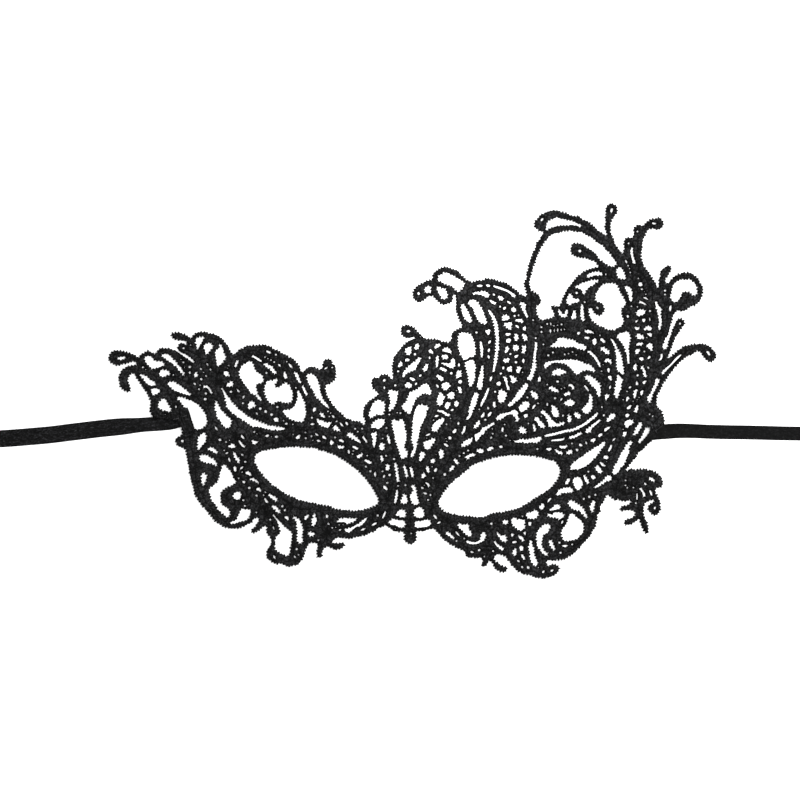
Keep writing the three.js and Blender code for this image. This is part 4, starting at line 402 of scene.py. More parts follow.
# Round and oval eyelets in millimetres: centre x, centre y, length, width, angle in degrees
EYELETS = [
    (-112.9, 9.9, 1.2, 0.8, 0), (-111.9, 9.1, 0.5, 0.5, 0), (-96.9, 13.2, 0.5, 0.5, 0),
    (-96, 12.1, 1.2, 0.7, -50), (-95.6, 10, 0.4, 0.4, 0), (-93.3, 10.1, 1.3, 1, 0),
    (-93.3, 7.7, 1.1, 0.8, 90), (-100.3, 6.8, 0.8, 0.8, 0), (-95.9, 18, 0.9, 0.8, 0),
    (-93, 19.3, 0.5, 0.5, 0), (-99.1, -6.6, 1, 0.7, 90), (-103.6, -9.8, 0.5, 0.5, 0),
    (-96.4, -21, 1.4, 1.2, 0), (-85.9, 11.2, 1.4, 0.5, -60), (-84.6, 9, 1.2, 0.6, -70),
    (-88.6, 9.2, 1.6, 0.6, -45), (-87.5, 7.8, 1, 0.5, -40), (-86.5, 6.4, 1.3, 0.6, -50),
    (-88.5, 5, 1.3, 0.9, -30), (-88.9, 2.4, 0.6, 0.6, 0), (-89.4, 0.8, 0.8, 0.8, 0),
    (-86.5, -1, 1.2, 1, 0), (-86.8, -3.4, 1.5, 1.3, 0), (-77, 10.6, 0.8, 0.6, 0),
    (-77.5, 9.5, 0.6, 0.5, 0), (-76, -0.3, 1.1, 1, 0), (-70.7, -2.5, 2, 0.6, 65), (-71, -5.1, 1, 0.9, 0),
    (-60.2, 16.4, 3.8, 0.8, -23), (-57.2, 15.3, 1, 0.7, 0), (-61.6, 14.2, 0.7, 0.6, 0),
    (-60.5, 13.6, 0.8, 0.6, 0), (-59.2, 13, 1, 0.7, -20), (-57.9, 12.2, 0.9, 0.8, -30),
    (-55.6, 10.8, 1.9, 0.7, -45), (-64.9, 13.5, 6, 0.8, -32), (-61.1, 7.6, 0.8, 0.8, 0),
    (-82.2, -15.7, 2.6, 0.8, -55), (-80.6, -20.5, 1.6, 1, -15), (-78, -21.4, 0.8, 0.7, 0),
    (-76.7, -20.7, 0.5, 0.5, 0), (-78.8, -25, 0.7, 0.6, 0), (-77.7, -26, 1.6, 0.8, 25),
    (-66.1, -17.2, 1, 0.8, 0), (-65.2, -17.9, 0.5, 0.5, 0), (-60.7, -18.8, 2, 1.1, 10),
    (-56.9, -19.2, 1.8, 1, 5), (-59, -19.1, 0.5, 0.5, 0), (-71.3, -26.8, 1.2, 0.8, -35),
    (-70, -29.7, 1.1, 0.7, 0), (-71.5, -32.3, 2.4, 0.8, 45), (-71.3, -34, 0.7, 0.7, 0),
    (-72.8, -36.6, 0.7, 0.6, 0), (-68.3, -40.7, 1.2, 1.1, 0), (-61.6, -42.6, 0.8, 0.7, 0),
    (-62.3, -43.7, 0.8, 0.7, 0), (-65.2, -43.9, 1.1, 0.7, 0), (-70.9, -45.8, 1, 0.9, 0),
    (-70.2, -48.3, 1.1, 1, 0), (-54.4, -48.4, 1.4, 0.9, 70), (-53.4, -50, 1.3, 0.9, 60),
    (-59.5, -54, 0.8, 0.7, 0), (-65.3, -51, 0.6, 0.5, 0), (-57.8, -69.7, 2.4, 0.8, -62),
    (-36.2, 9.6, 2.4, 0.5, 28), (-33.4, 9.9, 0.9, 0.6, 0), (-52.5, 12.3, 0.6, 0.5, 0),
    (-48.7, 1.3, 0.8, 0.7, 0), (-35.2, -8.5, 1, 0.8, -30), (-34.2, -9.2, 0.8, 0.6, 90),
    (-34.6, -10.7, 0.7, 0.6, 0), (-33.1, -10.7, 1.7, 1, -40), (-42, -11.2, 0.8, 0.8, 0),
    (-31.6, -12.8, 0.9, 0.7, 0), (-41.8, -13.9, 2.1, 0.8, 5), (-52.8, -13.7, 1.3, 1, 0),
    (-50, -14, 0.5, 0.4, 0), (-53.9, -12.5, 0.6, 0.5, 0), (-33.4, -14.5, 0.6, 0.5, 0),
    (-23.8, -15.9, 1.1, 0.7, -45), (-22.8, -17, 0.9, 0.6, 0), (-20.9, -15.8, 0.6, 0.6, 0),
    (-44.7, -17.4, 0.6, 0.5, 0), (-42.2, -19, 0.9, 0.6, 90), (-44.6, -19.8, 0.8, 0.7, 0),
    (-41.6, -20.7, 0.5, 0.4, 0), (-49.9, -18.2, 0.5, 0.4, 0), (-40, -18.3, 2.1, 0.7, -38),
    (-39.2, -20.9, 1.9, 0.9, -18), (-32.3, -19.5, 0.9, 0.6, 0), (-24.6, -25.1, 0.9, 0.8, 0),
    (-25, -26.4, 0.8, 0.8, 0), (-19.3, -31.7, 1, 0.8, -40), (-17.4, -33.7, 0.9, 0.9, 0),
    (-18.8, -27.1, 0.5, 0.4, 0), (-16.2, -16.6, 0.5, 0.5, 0), (-48.4, -66.4, 1, 1, 0),
    (-49.1, -69.6, 1.4, 0.8, -60), (-47.7, -68.8, 0.7, 0.6, 0), (-35, -55.8, 1.2, 0.6, -55),
    (-33.4, -57.4, 0.8, 0.8, 0), (-32.1, -57.3, 0.5, 0.5, 0), (-30.1, -58.3, 1.4, 0.6, 25),
    (-30.5, -56.1, 0.8, 0.4, 0), (-28.9, -56.1, 0.8, 0.4, 0), (-20.5, -58.1, 2.5, 0.8, 25),
    (-39.3, -62.7, 0.8, 0.7, 0), (-14.3, -52.2, 1.2, 0.9, 60), (-12.8, -51.9, 0.4, 0.4, 0),
    (-7, -57.9, 0.6, 0.5, 0), (5, -57.8, 0.7, 0.4, 0), (-0.3, -59.8, 0.5, 0.5, 0),
    (5.6, -43, 2.4, 0.8, -18), (7.7, -43.6, 1, 1, 0), (6.8, -45.7, 0.9, 0.8, 0),
    (18.7, -62.9, 0.9, 0.8, 0), (22, -62, 0.9, 0.7, 0), (-9.5, -9.8, 0.8, 0.7, 0),
    (-12.3, -19.9, 0.6, 0.4, 0), (-10.7, -15.5, 0.6, 0.6, 0), (-10.9, -27.2, 0.9, 0.8, 0),
    (-4.9, -9.3, 0.8, 0.7, 0), (-6.1, -9.1, 0.5, 0.5, 0), (-7.5, -28.6, 1, 0.8, 0),
    (-12.3, -33.7, 0.9, 0.6, 0), (-11.7, -35.8, 1.7, 0.8, 60), (-9.4, -35.2, 1.4, 1.2, 0),
    (-10.4, -38.6, 1.2, 0.7, 20), (-5.8, -39.8, 0.9, 0.8, 90), (-2.7, -39.5, 0.8, 0.7, 90),
    (6.2, -19.7, 0.8, 0.4, 0), (10.4, -10.5, 2.3, 0.9, 15), (9.1, -12.2, 0.8, 0.5, 0),
    (14.5, -14, 0.5, 0.5, 0), (16.2, -11.5, 0.5, 0.4, 0), (16.9, -7.9, 1.7, 0.8, 20),
    (19.5, -13.6, 1.6, 0.8, 80), (15.9, -19.7, 1.7, 1.6, 0), (14.4, -20, 0.6, 0.5, 0),
    (14.6, -21.2, 0.8, 0.6, 0), (8.5, -31.8, 0.5, 0.5, 0), (8.9, -36.5, 0.5, 0.5, 0),
    (10.3, -26.7, 0.5, 0.4, 0), (4.4, -40.6, 1.4, 1, -20), (5.2, -39.6, 0.6, 0.6, 0),
    (13.8, -35, 1.4, 1.2, 60), (20, -27.2, 0.9, 0.6, 80), (21.8, -26.1, 0.9, 0.8, 0),
    (-1.5, 25.1, 1.8, 0.9, 5), (3.6, 22.9, 0.5, 0.4, 90), (1.2, 15.5, 1.1, 1, 0), (-5.8, 8.3, 0.8, 0.7, 0),
    (1.7, 3.1, 1.5, 0.8, 60), (3.5, 6.5, 1.5, 0.7, 40), (-11.6, 4.5, 1.3, 1, 40),
    (-11.6, 1.4, 1.5, 0.5, 90), (-7, 2.4, 0.8, 0.8, 0), (7.4, 14, 1.3, 0.5, 85), (16.5, 7.5, 1.3, 1.2, 0),
    (19.7, 11, 1.9, 0.8, 90), (18.7, 0.2, 0.6, 0.5, 0), (15.7, 0.6, 0.5, 0.5, 0), (2.8, 41, 1.5, 0.9, 90),
    (54.6, 72, 2, 0.8, 50), (28.6, 44.2, 3, 0.9, 5), (32, 44.3, 2.3, 1.1, -8), (34.4, 40.5, 1.3, 0.8, -40),
    (37.1, 35.4, 1, 0.8, 90), (27.1, 24.6, 0.9, 0.7, 0), (32.6, 20.6, 2, 0.8, 60),
    (32.3, 17.1, 2.1, 0.8, 75), (32.2, 14.4, 2.1, 0.8, -80), (43.2, 31.6, 1.2, 1, 0),
    (44.7, 31.8, 0.8, 0.7, 0), (41.3, 15.6, 1, 0.8, 0), (43.7, 12.1, 1.2, 1, 0),
    (46.8, 12.7, 2.2, 1.1, 90), (38.4, 9.7, 1.8, 1, 80), (46.4, 7.9, 0.6, 0.5, 0), (37.4, 7.3, 1.2, 1, 45),
    (35, -0.3, 1, 0.8, 0), (33.2, 5.3, 3.1, 0.8, 70), (52, 22.2, 0.8, 0.7, 90), (48.5, -2.7, 0.7, 0.6, 0),
    (54.4, 26.8, 0.7, 0.6, 0), (54.4, 24.9, 1, 0.6, 90), (56.9, 28.2, 0.8, 0.7, 0),
    (58.3, 28.2, 1.6, 0.7, -65), (58.2, 25.2, 2.1, 0.8, 90), (59.6, 27.4, 1.2, 0.8, 0),
    (59.8, 25.4, 2.1, 0.6, 90), (61.1, 27.6, 0.7, 0.5, 0), (61.2, 25.6, 1.9, 0.8, 90),
    (50.9, 29.8, 0.5, 0.5, 0), (55.2, 19.6, 0.6, 0.5, 0), (57.3, 15, 0.8, 0.8, 0),
    (59.2, 16.2, 0.8, 0.7, 0), (61.2, 4, 1.4, 0.9, 0), (56.9, 2.7, 0.7, 0.6, 0), (60.1, -3, 0.9, 0.8, 0),
    (28.3, -7.6, 0.6, 0.5, 0), (32, -7.2, 1.5, 0.7, -65), (30.8, -12, 1.2, 0.9, 0),
    (33.9, -18, 0.8, 0.7, 0), (33.3, -19.5, 1.4, 0.7, 55), (33.7, -15.8, 0.5, 0.4, 0),
    (38.9, -14.1, 0.7, 0.6, 0), (39.5, -18.7, 0.9, 0.7, 0), (52.9, -5.2, 1, 0.6, 0),
    (48.9, -13.6, 0.5, 0.5, 0), (54.3, -10.7, 0.8, 0.7, 0), (63.4, -10.3, 1, 0.8, 20),
    (60.6, -12, 0.5, 0.5, 0), (41.3, -20.8, 0.5, 0.5, 0), (23.6, -25, 0.9, 0.7, 0),
    (52.7, -24.3, 0.8, 0.7, 0), (46.4, -52.7, 0.7, 0.7, 0), (33.4, -55.7, 1.1, 1.1, 0),
    (44.7, -71.4, 1.6, 0.7, -35), (46.3, -73.9, 1.1, 0.8, -50), (48.8, -74.1, 1.6, 1.2, -50),
    (53, -74.1, 0.6, 0.5, 0), (55.2, -75.9, 1.6, 0.8, 50), (58.8, -75.4, 1.7, 0.8, 30),
    (25.2, -67.6, 1.7, 0.8, -20), (28.2, -66.8, 1.3, 0.8, 40), (30.4, -69.5, 0.7, 0.6, 0),
    (34.1, -67.2, 0.9, 0.7, -50), (70.5, 58.8, 1.4, 1.3, 0), (94.7, 67, 0.7, 0.7, 0),
    (91, 62, 0.8, 0.6, 0), (90.8, 52.6, 1, 0.9, 0), (91.3, 51.5, 0.6, 0.6, 0), (91.7, 49.8, 0.6, 0.6, 0),
    (95.1, 47.3, 0.5, 0.5, 0), (81.3, 49, 0.8, 0.7, 0), (69.2, 41.2, 1.1, 1.1, 0),
    (72.5, 37.3, 0.8, 0.8, 0), (96.6, 42.8, 1.3, 0.8, 0), (98.1, 40.6, 0.8, 0.8, 0),
    (97.5, 41.8, 0.5, 0.5, 0), (94.7, 35.3, 0.6, 0.6, 0), (92.2, 35.6, 0.6, 0.5, 0),
    (77.9, 34.9, 1.4, 0.7, -45), (62.8, 28, 0.8, 0.7, 90), (62.7, 25.7, 1.1, 0.7, 90),
    (64, 25.9, 0.5, 0.5, 0), (79, 23.3, 0.8, 0.6, 0), (83.2, 1.6, 2, 0.7, 75), (95.4, -2.7, 0.8, 0.7, 0),
    (94.6, -3.6, 0.6, 0.5, 0), (93, -4.2, 0.7, 0.5, 0), (88.8, -3.6, 0.7, 0.5, 0),
    (90.4, -0.1, 0.8, 0.6, 0), (94.8, 6.6, 1.2, 0.8, 30), (97.6, 16.6, 0.7, 0.6, 0),
    (98.6, 22.5, 0.8, 0.6, 0), (79.6, 8.4, 0.6, 0.6, 0), (64.2, 15.4, 1, 0.7, -30),
    (65.7, 15.7, 0.7, 0.6, 0), (67.4, 16.4, 0.6, 0.5, 0), (69, 15.1, 0.4, 0.4, 0),
    (80.3, 11.1, 0.5, 0.4, 0), (62.8, 0.9, 0.7, 0.7, 0), (64, 1.3, 0.6, 0.5, 0),
    (62.8, -3.4, 1.8, 0.6, 55), (79.8, -6.7, 0.7, 0.7, 0), (80.6, -10.2, 1, 0.8, 50),
    (73.2, -21.8, 1.7, 0.6, -65), (67.2, -22, 0.8, 0.5, 0), (74.1, -33.8, 0.7, 0.7, 0),
    (81.7, -29.6, 0.5, 0.4, 0), (88.8, -16.2, 0.6, 0.5, 0), (89.7, -39.7, 0.9, 0.7, 0),
    (90.4, -40.5, 0.8, 0.7, 0), (93, -40.5, 0.6, 0.4, 0), (89.7, -37.5, 0.6, 0.5, 0),
    (98, -39, 1.8, 0.7, -45), (74.5, -44.4, 1, 1, 0), (77, -43.6, 1.1, 0.7, 90), (72.2, -45.3, 1, 0.7, 45),
    (62, -63.7, 1.3, 0.9, -45), (67.3, -64.4, 0.8, 0.6, 0), (62.4, -67.9, 1, 0.9, 0),
    (94.1, -47, 0.9, 0.9, 0), (100, 33.6, 0.9, 0.8, 0), (99.2, 9.8, 1.3, 0.7, -40),
    (112.6, 28.3, 0.9, 0.9, 0), (99.9, -9.8, 0.9, 0.6, 0), (101, -10.5, 0.9, 0.7, 90),
    (101.2, -16.3, 0.5, 0.4, 0), (102, -49.1, 1.5, 0.9, 60), (106.3, 42.1, 1.1, 1, 0),
    (106.3, 40.6, 0.8, 0.8, 0), (-63.7, -7.4, 1.3, 1.2, 0), (-61.4, -8.6, 1.5, 1.2, -60),
    (-58.9, -9.9, 1.4, 1.2, 0), (-56.5, -6.7, 0.9, 0.8, 0), (-65.1, -9.5, 1.2, 0.5, -45),
]

# Camera: straight above, as in the photograph, whose frame is 336 mm wide
VIEW_CENTRE = (-5.04 * MM, -3.78 * MM)
VIEW_WIDTH = 336 * MM
LENS = 150
SENSOR = 36
CLIP_END = 10

# Lights and floor: places and sizes in metres, power in watts
KEY_PLACE = (0.42, 0.24, 0.52)
KEY_SIZE = 0.5
KEY_POWER = 6.3
SPOT_PLACE = (0.1, 0.3, 1.2)
SPOT_AIM = (0.0, 0.05, 0.0)
SPOT_RADIUS = 0.075
SPOT_SOFTNESS = 0.02
SPOT_POWER = 76
WORLD_STRENGTH = 1.2
FLOOR_HALF = 1.5

# Colours, as sRGB
THREAD_DARK = "#040404"
THREAD = "#0a0a0a"
THREAD_LIGHT = "#2e2e2f"
SATIN_DARK = "#040404"
SATIN = "#080808"
SATIN_LIGHT = "#202021"
FIBRE_LIGHT = "#2c2c2e"
SEWING_DARK = "#101010"
SEWING_LIGHT = "#3c3c3e"
FLOOR = "#f4f4f4"
WHITE = "#ffffff"
# Greys for the painted shade in the lace's tone, which follows its relief: at a cord's edge and in a dished
# field. A cord's crest is white, a painted highlight
EDGE_SHADE_GREY = "#202020"
FIELD_SHADE_GREY = "#909090"

# Pattern sizes, in millimetres
# A thread's fibres are about 0.02 mm thick, too fine to show: they are drawn as fuzz of half a millimetre
FUZZ_SIZE = 0.5
# Broad patches where the thread lies looser or tighter
PATCH_SIZE = 6
# Satin yarns are about 0.1 mm apart, too fine to show: they are drawn four times as coarse
YARN_PITCH = 0.4
# The turns of the twisted sewing thread
PLY_PITCH = 0.4
# Faint streaks along the satin
STREAK_LENGTH = 3.5
STREAK_WIDTH = 0.6
FLOOR_GRAIN = 2
# A wave texture repeats at this length when its scale is 1
WAVE_UNIT = TAU / 20

# Tones that the patterns are added to, which bring their sum to the middle of the colours
LACE_TONE = -0.815
RUBBED_TONE = -0.465
SMOOTH_TONE = -0.36
# How much the loose fibres on each tie show, and how thin they are
RUBBED_FIBRES = 0.7
SMOOTH_FIBRES = 0.2
FIBRE_SHARPNESS = 30.0


def add_camera():
    """A long lens straight above, so that the lace shows in plan."""
    data = bpy.data.cameras.new("camera")
    data.lens = LENS
    data.sensor_width = SENSOR
    data.clip_end = CLIP_END
    camera = bpy.data.objects.new("camera", data)
    bpy.context.scene.collection.objects.link(camera)
    camera.location = (*VIEW_CENTRE, VIEW_WIDTH * LENS / SENSOR)
    bpy.context.scene.camera = camera


# Mesh helpers


def new_object(name, vertices, faces):
    """A smooth-shaded mesh object in the scene."""
    mesh = bpy.data.meshes.new(name)
    mesh.from_pydata(vertices, [], faces)
    mesh.polygons.foreach_set("use_smooth", [True] * len(mesh.polygons))
    mesh.update()
    piece = bpy.data.objects.new(name, mesh)
    bpy.context.scene.collection.objects.link(piece)
    return piece


def add_uv(piece, places):
    """A UV map in millimetres, from u and v for every vertex."""
    layer = piece.data.uv_layers.new(name="thread")
    index = np.empty(len(piece.data.loops), dtype=np.int32)
    piece.data.loops.foreach_get("vertex_index", index)
    layer.data.foreach_set("uv", np.asarray(places)[index].ravel())


def tube_faces(rings, size, first=0):
    """The faces of a capped tube, made of rings of vertices that are numbered on from the first."""
    faces = [tuple(range(first, first + size))[::-1]]
    for ring in range(rings - 1):
        for k in range(size):
            a = first + ring * size + k
            b = first + ring * size + (k + 1) % size
            faces.append((a, b, b + size, a + size))
    last = first + (rings - 1) * size
    faces.append(tuple(range(last, last + size)))
    return faces


# Ties


def spline(points, step):
    """Points a small step apart on a smooth open curve through the given points."""
    points = [Vector(p) for p in points]
    ends = [2 * points[0] - points[1], *points, 2 * points[-1] - points[-2]]
    line = []
    for a, b, c, d in zip(ends, ends[1:], ends[2:], ends[3:]):
        count = max(1, round((c - b).length / step))
        for i in range(count):
            t = i / count
            line.append(0.5 * (2 * b + (c - a) * t + (2 * a - 5 * b + 4 * c - d) * t ** 2
                               + (3 * b - a - 3 * c + d) * t ** 3))
    return [*line, points[-1]]


def travelled(route):
    """How far along a route each of its points lies."""
    return np.cumsum([0.0] + [math.dist(a[:3], b[:3]) for a, b in zip(route, route[1:])])


def tie_route(middle, towards):
    """The tie's whole middle line: x, y and z in metres, and how far it is turned on edge in radians."""
    step = TIE_STEP * MM
    width = TIE_WIDTH * MM
    thick = TIE_THICK * MM
    radius = COIL_RADIUS * MM
    route = [(p.x, p.y, 0.0) for p in spline([(*p, 0) for p in middle], step)]
    last_x, last_y, _ = route[-1]
    for i in range(1, round(TWIST_LENGTH / TIE_STEP) + 1):
        route.append((last_x + towards * i * step, last_y, math.pi / 2 * i * TIE_STEP / TWIST_LENGTH))
    start = last_x + towards * TWIST_LENGTH * MM
    entry = towards * COIL_ENTRY * MM
    for i in range(1, ENTRY_STEPS):
        route.append((start + entry * i / ENTRY_STEPS, last_y, math.pi / 2))
    # The coil: its radius falls evenly with the angle, and it turns until the tie has its whole length
    centre = (start + entry, last_y - radius)
    straight = travelled(middle[SEWN_POINTS:])[-1] + (TWIST_LENGTH + COIL_ENTRY) * MM
    fall = COIL_PITCH * MM / TAU
    sweep = (radius - math.sqrt(radius ** 2 - 2 * fall * (TIE_LENGTH * MM - straight))) / fall
    count = round(sweep * radius / step)
    for i in range(count + 1):
        angle = sweep * i / count
        around = radius - fall * angle
        x = centre[0] + towards * around * math.sin(angle)
        route.append((x, centre[1] + around * math.cos(angle), math.pi / 2))
    return [(x, y, (width * math.sin(turn) + thick * math.cos(turn)) / 2, turn) for x, y, turn in route]


def tie_section():
    """The tie's cross-section, a flat weave with thicker woven edges: -1 to 1 across, and metres up."""
    half = TIE_THICK * MM / 2
    upper = []
    for i in range(SECTION_STEPS + 1):
        across = math.cos(math.pi * i / SECTION_STEPS)
        selvedge = math.exp(-((1 - abs(across)) / SELVEDGE_SHARE) ** 2)
        rounding = min(1, SIDE_SLOPE * math.sqrt(max(0, 1 - across ** 2)))
        upper.append((across, half * (WEAVE_SHARE + (1 - WEAVE_SHARE) * selvedge) * rounding))
    lower = [(across, -up) for across, up in reversed(upper[1:-1])]
    return upper + lower


def ribbon_strip(name, route, widths):
    """A strip of ribbon along points of x, y, z and turn, with its width in millimetres at each."""
    section = tie_section()
    vertices = []
    weave = []
    for i, (place, width, travel) in enumerate(zip(route, widths, travelled(route) / MM)):
        before = route[max(i - 1, 0)]
        after = route[min(i + 1, len(route) - 1)]
        along = Vector((after[0] - before[0], after[1] - before[1], 0)).normalized()
        level = Vector((-along.y, along.x, 0))
        across = level * math.cos(place[3]) + Vector((0, 0, math.sin(place[3])))
        up = along.cross(across)
        for side, height in section:
            vertices.append(Vector(place[:3]) + across * side * width / 2 * MM + up * height)
            weave.append((travel, side * width / 2))
    piece = new_object(name, vertices, tube_faces(len(route), len(section)))
    add_uv(piece, weave)
    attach(piece, "root")
    return piece


def add_tie(name, middle, widths, towards, node_names):
    """One satin tie: sewn end, flat run, twist and coil."""
    route = tie_route(middle, towards)
    piece = ribbon_strip(name, route, np.interp(travelled(route) / MM, *zip(*widths)))
    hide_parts(*node_names)
    return piece


# Lace edges


def solid_loops(node):
    """The closed edges of the lace solid, cut level above its tie pockets, in millimetres."""
    work = bmesh.new()
    work.from_mesh(node.data)
    bmesh.ops.remove_doubles(work, verts=work.verts, dist=WELD * MM)
    geometry = work.verts[:] + work.edges[:] + work.faces[:]
    plane = (0, 0, CUT_HEIGHT * MM)
    cut = bmesh.ops.bisect_plane(work, geom=geometry, plane_co=plane, plane_no=(0, 0, 1))["geom_cut"]
    links = {}
    for edge in cut:
        if isinstance(edge, bmesh.types.BMEdge):
            a, b = edge.verts
            links.setdefault(a, []).append(b)
            links.setdefault(b, []).append(a)
    loops = []
    seen = set()
    for start in links:
        loop = []
        onward = [start]
        while onward := [vertex for vertex in onward if vertex not in seen]:
            seen.add(onward[0])
            loop.append((onward[0].co.x / MM, onward[0].co.y / MM))
            onward = links[onward[0]]
        if loop:
            loops.append(drop_straight(np.array(loop)))
    work.free()
    return loops


def drop_straight(loop):
    """A closed loop without the points that lie on the straight line between their neighbours."""
    before = loop - np.roll(loop, 1, axis=0)
    after = np.roll(loop, -1, axis=0) - loop
    cross = np.abs(before[:, 0] * after[:, 1] - before[:, 1] * after[:, 0])
    size = np.linalg.norm(before, axis=1) * np.linalg.norm(after, axis=1)
    return loop[cross > STRAIGHT * size]


def eyelet(x, y, length, width, angle):
    """An oval hole as a closed loop."""
    turn = math.radians(angle)
    around = np.arange(EYELET_POINTS) * TAU / EYELET_POINTS
    a = length / 2 * np.cos(around)
    b = width / 2 * np.sin(around)
    along = x + a * math.cos(turn) - b * math.sin(turn)
    return np.column_stack([along, y + a * math.sin(turn) + b * math.cos(turn)])


def smooth_loop(loop):
    """A rounded closed curve through a loop's points, with points spread evenly along it."""
    line = []
    count = len(loop)
    for i in range(count):
        a, b, c, d = (loop[(i + k) % count] for k in (-1, 0, 1, 2))
        chord = np.linalg.norm(c - b)
        into = (c - a) * min(1, chord / max(np.linalg.norm(b - a), TINY)) / 2
        out = (d - b) * min(1, chord / max(np.linalg.norm(d - c), TINY)) / 2
        for t in np.linspace(0, 1, max(2, round(chord / CURVE_STEP)), endpoint=False):
            line.append((2 * t ** 3 - 3 * t ** 2 + 1) * b + (t ** 3 - 2 * t ** 2 + t) * into
                        + (3 * t ** 2 - 2 * t ** 3) * c + (t ** 3 - t ** 2) * out)
    closed = np.array([*line, line[0]])
    travel = np.concatenate([[0], np.cumsum(np.linalg.norm(np.diff(closed, axis=0), axis=1))])
    # An even number, because every second point is pulled in
    steps = max(LEAST_POINTS, 2 * round(travel[-1] / EDGE_STEP / 2))
    at = np.arange(steps) * travel[-1] / steps
    return np.column_stack([np.interp(at, travel, closed[:, k]) for k in (0, 1)])


def turned_out(loop, outer):
    """A loop that runs with the material on its left: anticlockwise outside, clockwise round a hole."""
    x, y = loop[:, 0], loop[:, 1]
    anticlockwise = np.sum(x * np.roll(y, -1) - np.roll(x, -1) * y) > 0
    return loop if anticlockwise == outer else loop[::-1]


def point_tree(points):
    """A tree that finds the nearest of some points."""
    tree = kdtree.KDTree(len(points))
    for i, (x, y) in enumerate(points):
        tree.insert((x, y, 0), i)
    tree.balance()
    return tree


def nearest(tree, points):
    """The number of each point's nearest one in a tree, and how far off that is."""
    hits = [tree.find((x, y, 0)) for x, y in points]
    return np.array([hit[1] for hit in hits]), np.array([hit[2] for hit in hits])


def room_beside(tree, loop, first, i, inward):
    """How far other edges are from one point of a loop, on the open side and on the material's side."""
    x, y = loop[i]
    count = len(loop)
    room = [FULL_WALL, FULL_WALL]
    for spot, index, distance in tree.find_range((x, y, 0), FULL_WALL):
        same_loop = first <= index < first + count
        if same_loop and not NEIGHBOURS < (index - first - i) % count < count - NEIGHBOURS:
            continue
        side = int((spot.x - x) * inward[0] + (spot.y - y) * inward[1] > 0)
        room[side] = min(room[side], distance)
    return room


def stitched(loops, rng):
    """Loops with every second point pulled in, as thread turns round the edge, and slim places widened."""
    tree = point_tree(np.vstack(loops))
    first = 0
    pulled = []
    for loop in loops:
        count = len(loop)
        along = np.roll(loop, -1, axis=0) - np.roll(loop, 1, axis=0)
        along /= np.maximum(np.linalg.norm(along, axis=1, keepdims=True), TINY)
        inward = np.column_stack([-along[:, 1], along[:, 0]])
        room = np.array([room_beside(tree, loop, first, i, inward[i]) for i in range(count)])
        room = np.clip((room - THIN_WALL) / (FULL_WALL - THIN_WALL), 0, 1)
        large = np.clip((count * EDGE_STEP - SMOOTH_LOOP) / (STITCHED_LOOP - SMOOTH_LOOP), 0, 1)
        depth = STITCH_DEPTH * np.maximum(room.min(axis=1), THIN_SHARE) * large
        wave = np.where(np.arange(count) % 2, 0.5, -0.5) * rng.uniform(*TURN_SHARES, count)
        growth = SLIM_GROWTH * (room[:, 1] - room[:, 0]) - EDGE_SPREAD
        pulled.append(loop + inward * (depth * wave + growth)[:, None])
        first += count
    return pulled


def lace_edges(node, rng):
    """Every edge of the lace as a stitched loop, outline first, and the eye holes as plain loops."""
    # The widest loop is the outline, and the next two are the eye holes
    outline, *holes = sorted(solid_loops(node), key=lambda loop: -np.ptp(loop[:, 0]))
    eyes = [smooth_loop(loop) for loop in holes[:2]]
    holes += [np.reshape(flat, (-1, 2)) for flat in FINE_OPENINGS]
    holes += [eyelet(*sizes) for sizes in EYELETS]
    loops = [turned_out(smooth_loop(outline), True)]
    loops += [turned_out(smooth_loop(hole), False) for hole in holes]
    return stitched(loops, rng), eyes


# Lace mesh


def loop_links(loops):
    """Each point's number and the next one's round its loop, with all the loops' points in one run."""
    links = []
    first = 0
    for loop in loops:
        own = np.arange(first, first + len(loop))
        links.append(np.column_stack([own, np.roll(own, -1)]))
        first += len(loop)
    return np.vstack(links)


def inside(points, starts, ends):
    """Which points the edges wind round, by counting those to the right of each point in bands of 1 mm."""
    low = np.minimum(starts[:, 1], ends[:, 1])
    high = np.maximum(starts[:, 1], ends[:, 1])
    result = np.zeros(len(points), dtype=bool)
    band = np.floor(points[:, 1]).astype(int)
    for level in np.unique(band):
        members = np.nonzero(band == level)[0]
        near = np.nonzero((high >= level) & (low <= level + 1))[0]
        x, y = points[members, 0][:, None], points[members, 1][:, None]
        ax, ay, bx, by = starts[near, 0], starts[near, 1], ends[near, 0], ends[near, 1]
        spans = (ay > y) != (by > y)
        climb = np.where(by == ay, 1, by - ay)
        crossing = ax + (y - ay) * (bx - ax) / climb
        result[members] = np.sum((spans & (crossing > x)) * np.sign(by - ay), axis=1) > 0
    return result


def fill(edge, links, step, keep_off, rng):
    """Points and triangles between linked edge points, and each edge point's number among those points.

    Free points lie a step apart, and not nearer to the edge than keep_off.
    """
    starts, ends = edge[links[:, 0]], edge[links[:, 1]]
    low, high = edge.min(axis=0), edge.max(axis=0)
    grid = []
    for i, y in enumerate(np.arange(low[1], high[1], step * math.sqrt(3) / 2)):
        x = np.arange(low[0] + step / 2 * (i % 2), high[0], step)
        grid.append(np.column_stack([x, np.full(len(x), y)]))
    grid = np.vstack(grid)
    grid += rng.uniform(-SCATTER, SCATTER, grid.shape) * step
    grid = grid[inside(grid, starts, ends)]
    grid = grid[nearest(point_tree(edge), grid)[1] > keep_off]
    everything = [Vector(p) for p in np.vstack([edge, grid])]
    points, _, faces, origins, _, _ = delaunay_2d_cdt(everything, links.tolist(), [], 0, TINY)
    points = np.array([tuple(p) for p in points])
    faces = np.array(faces)
    place = np.zeros(len(edge), dtype=int)
    for i, sources in enumerate(origins):
        for source in sources:
            if source < len(edge):
                place[source] = i
    return points, faces[inside(points[faces].mean(axis=1), starts, ends)], place


def open_edges(faces):
    """The edges that only one triangle has, each in its triangle's direction."""
    directed = {(int(a), int(b)) for face in faces for a, b in zip(face, np.roll(face, -1))}
    return np.array(sorted((a, b) for a, b in directed if (b, a) not in directed))


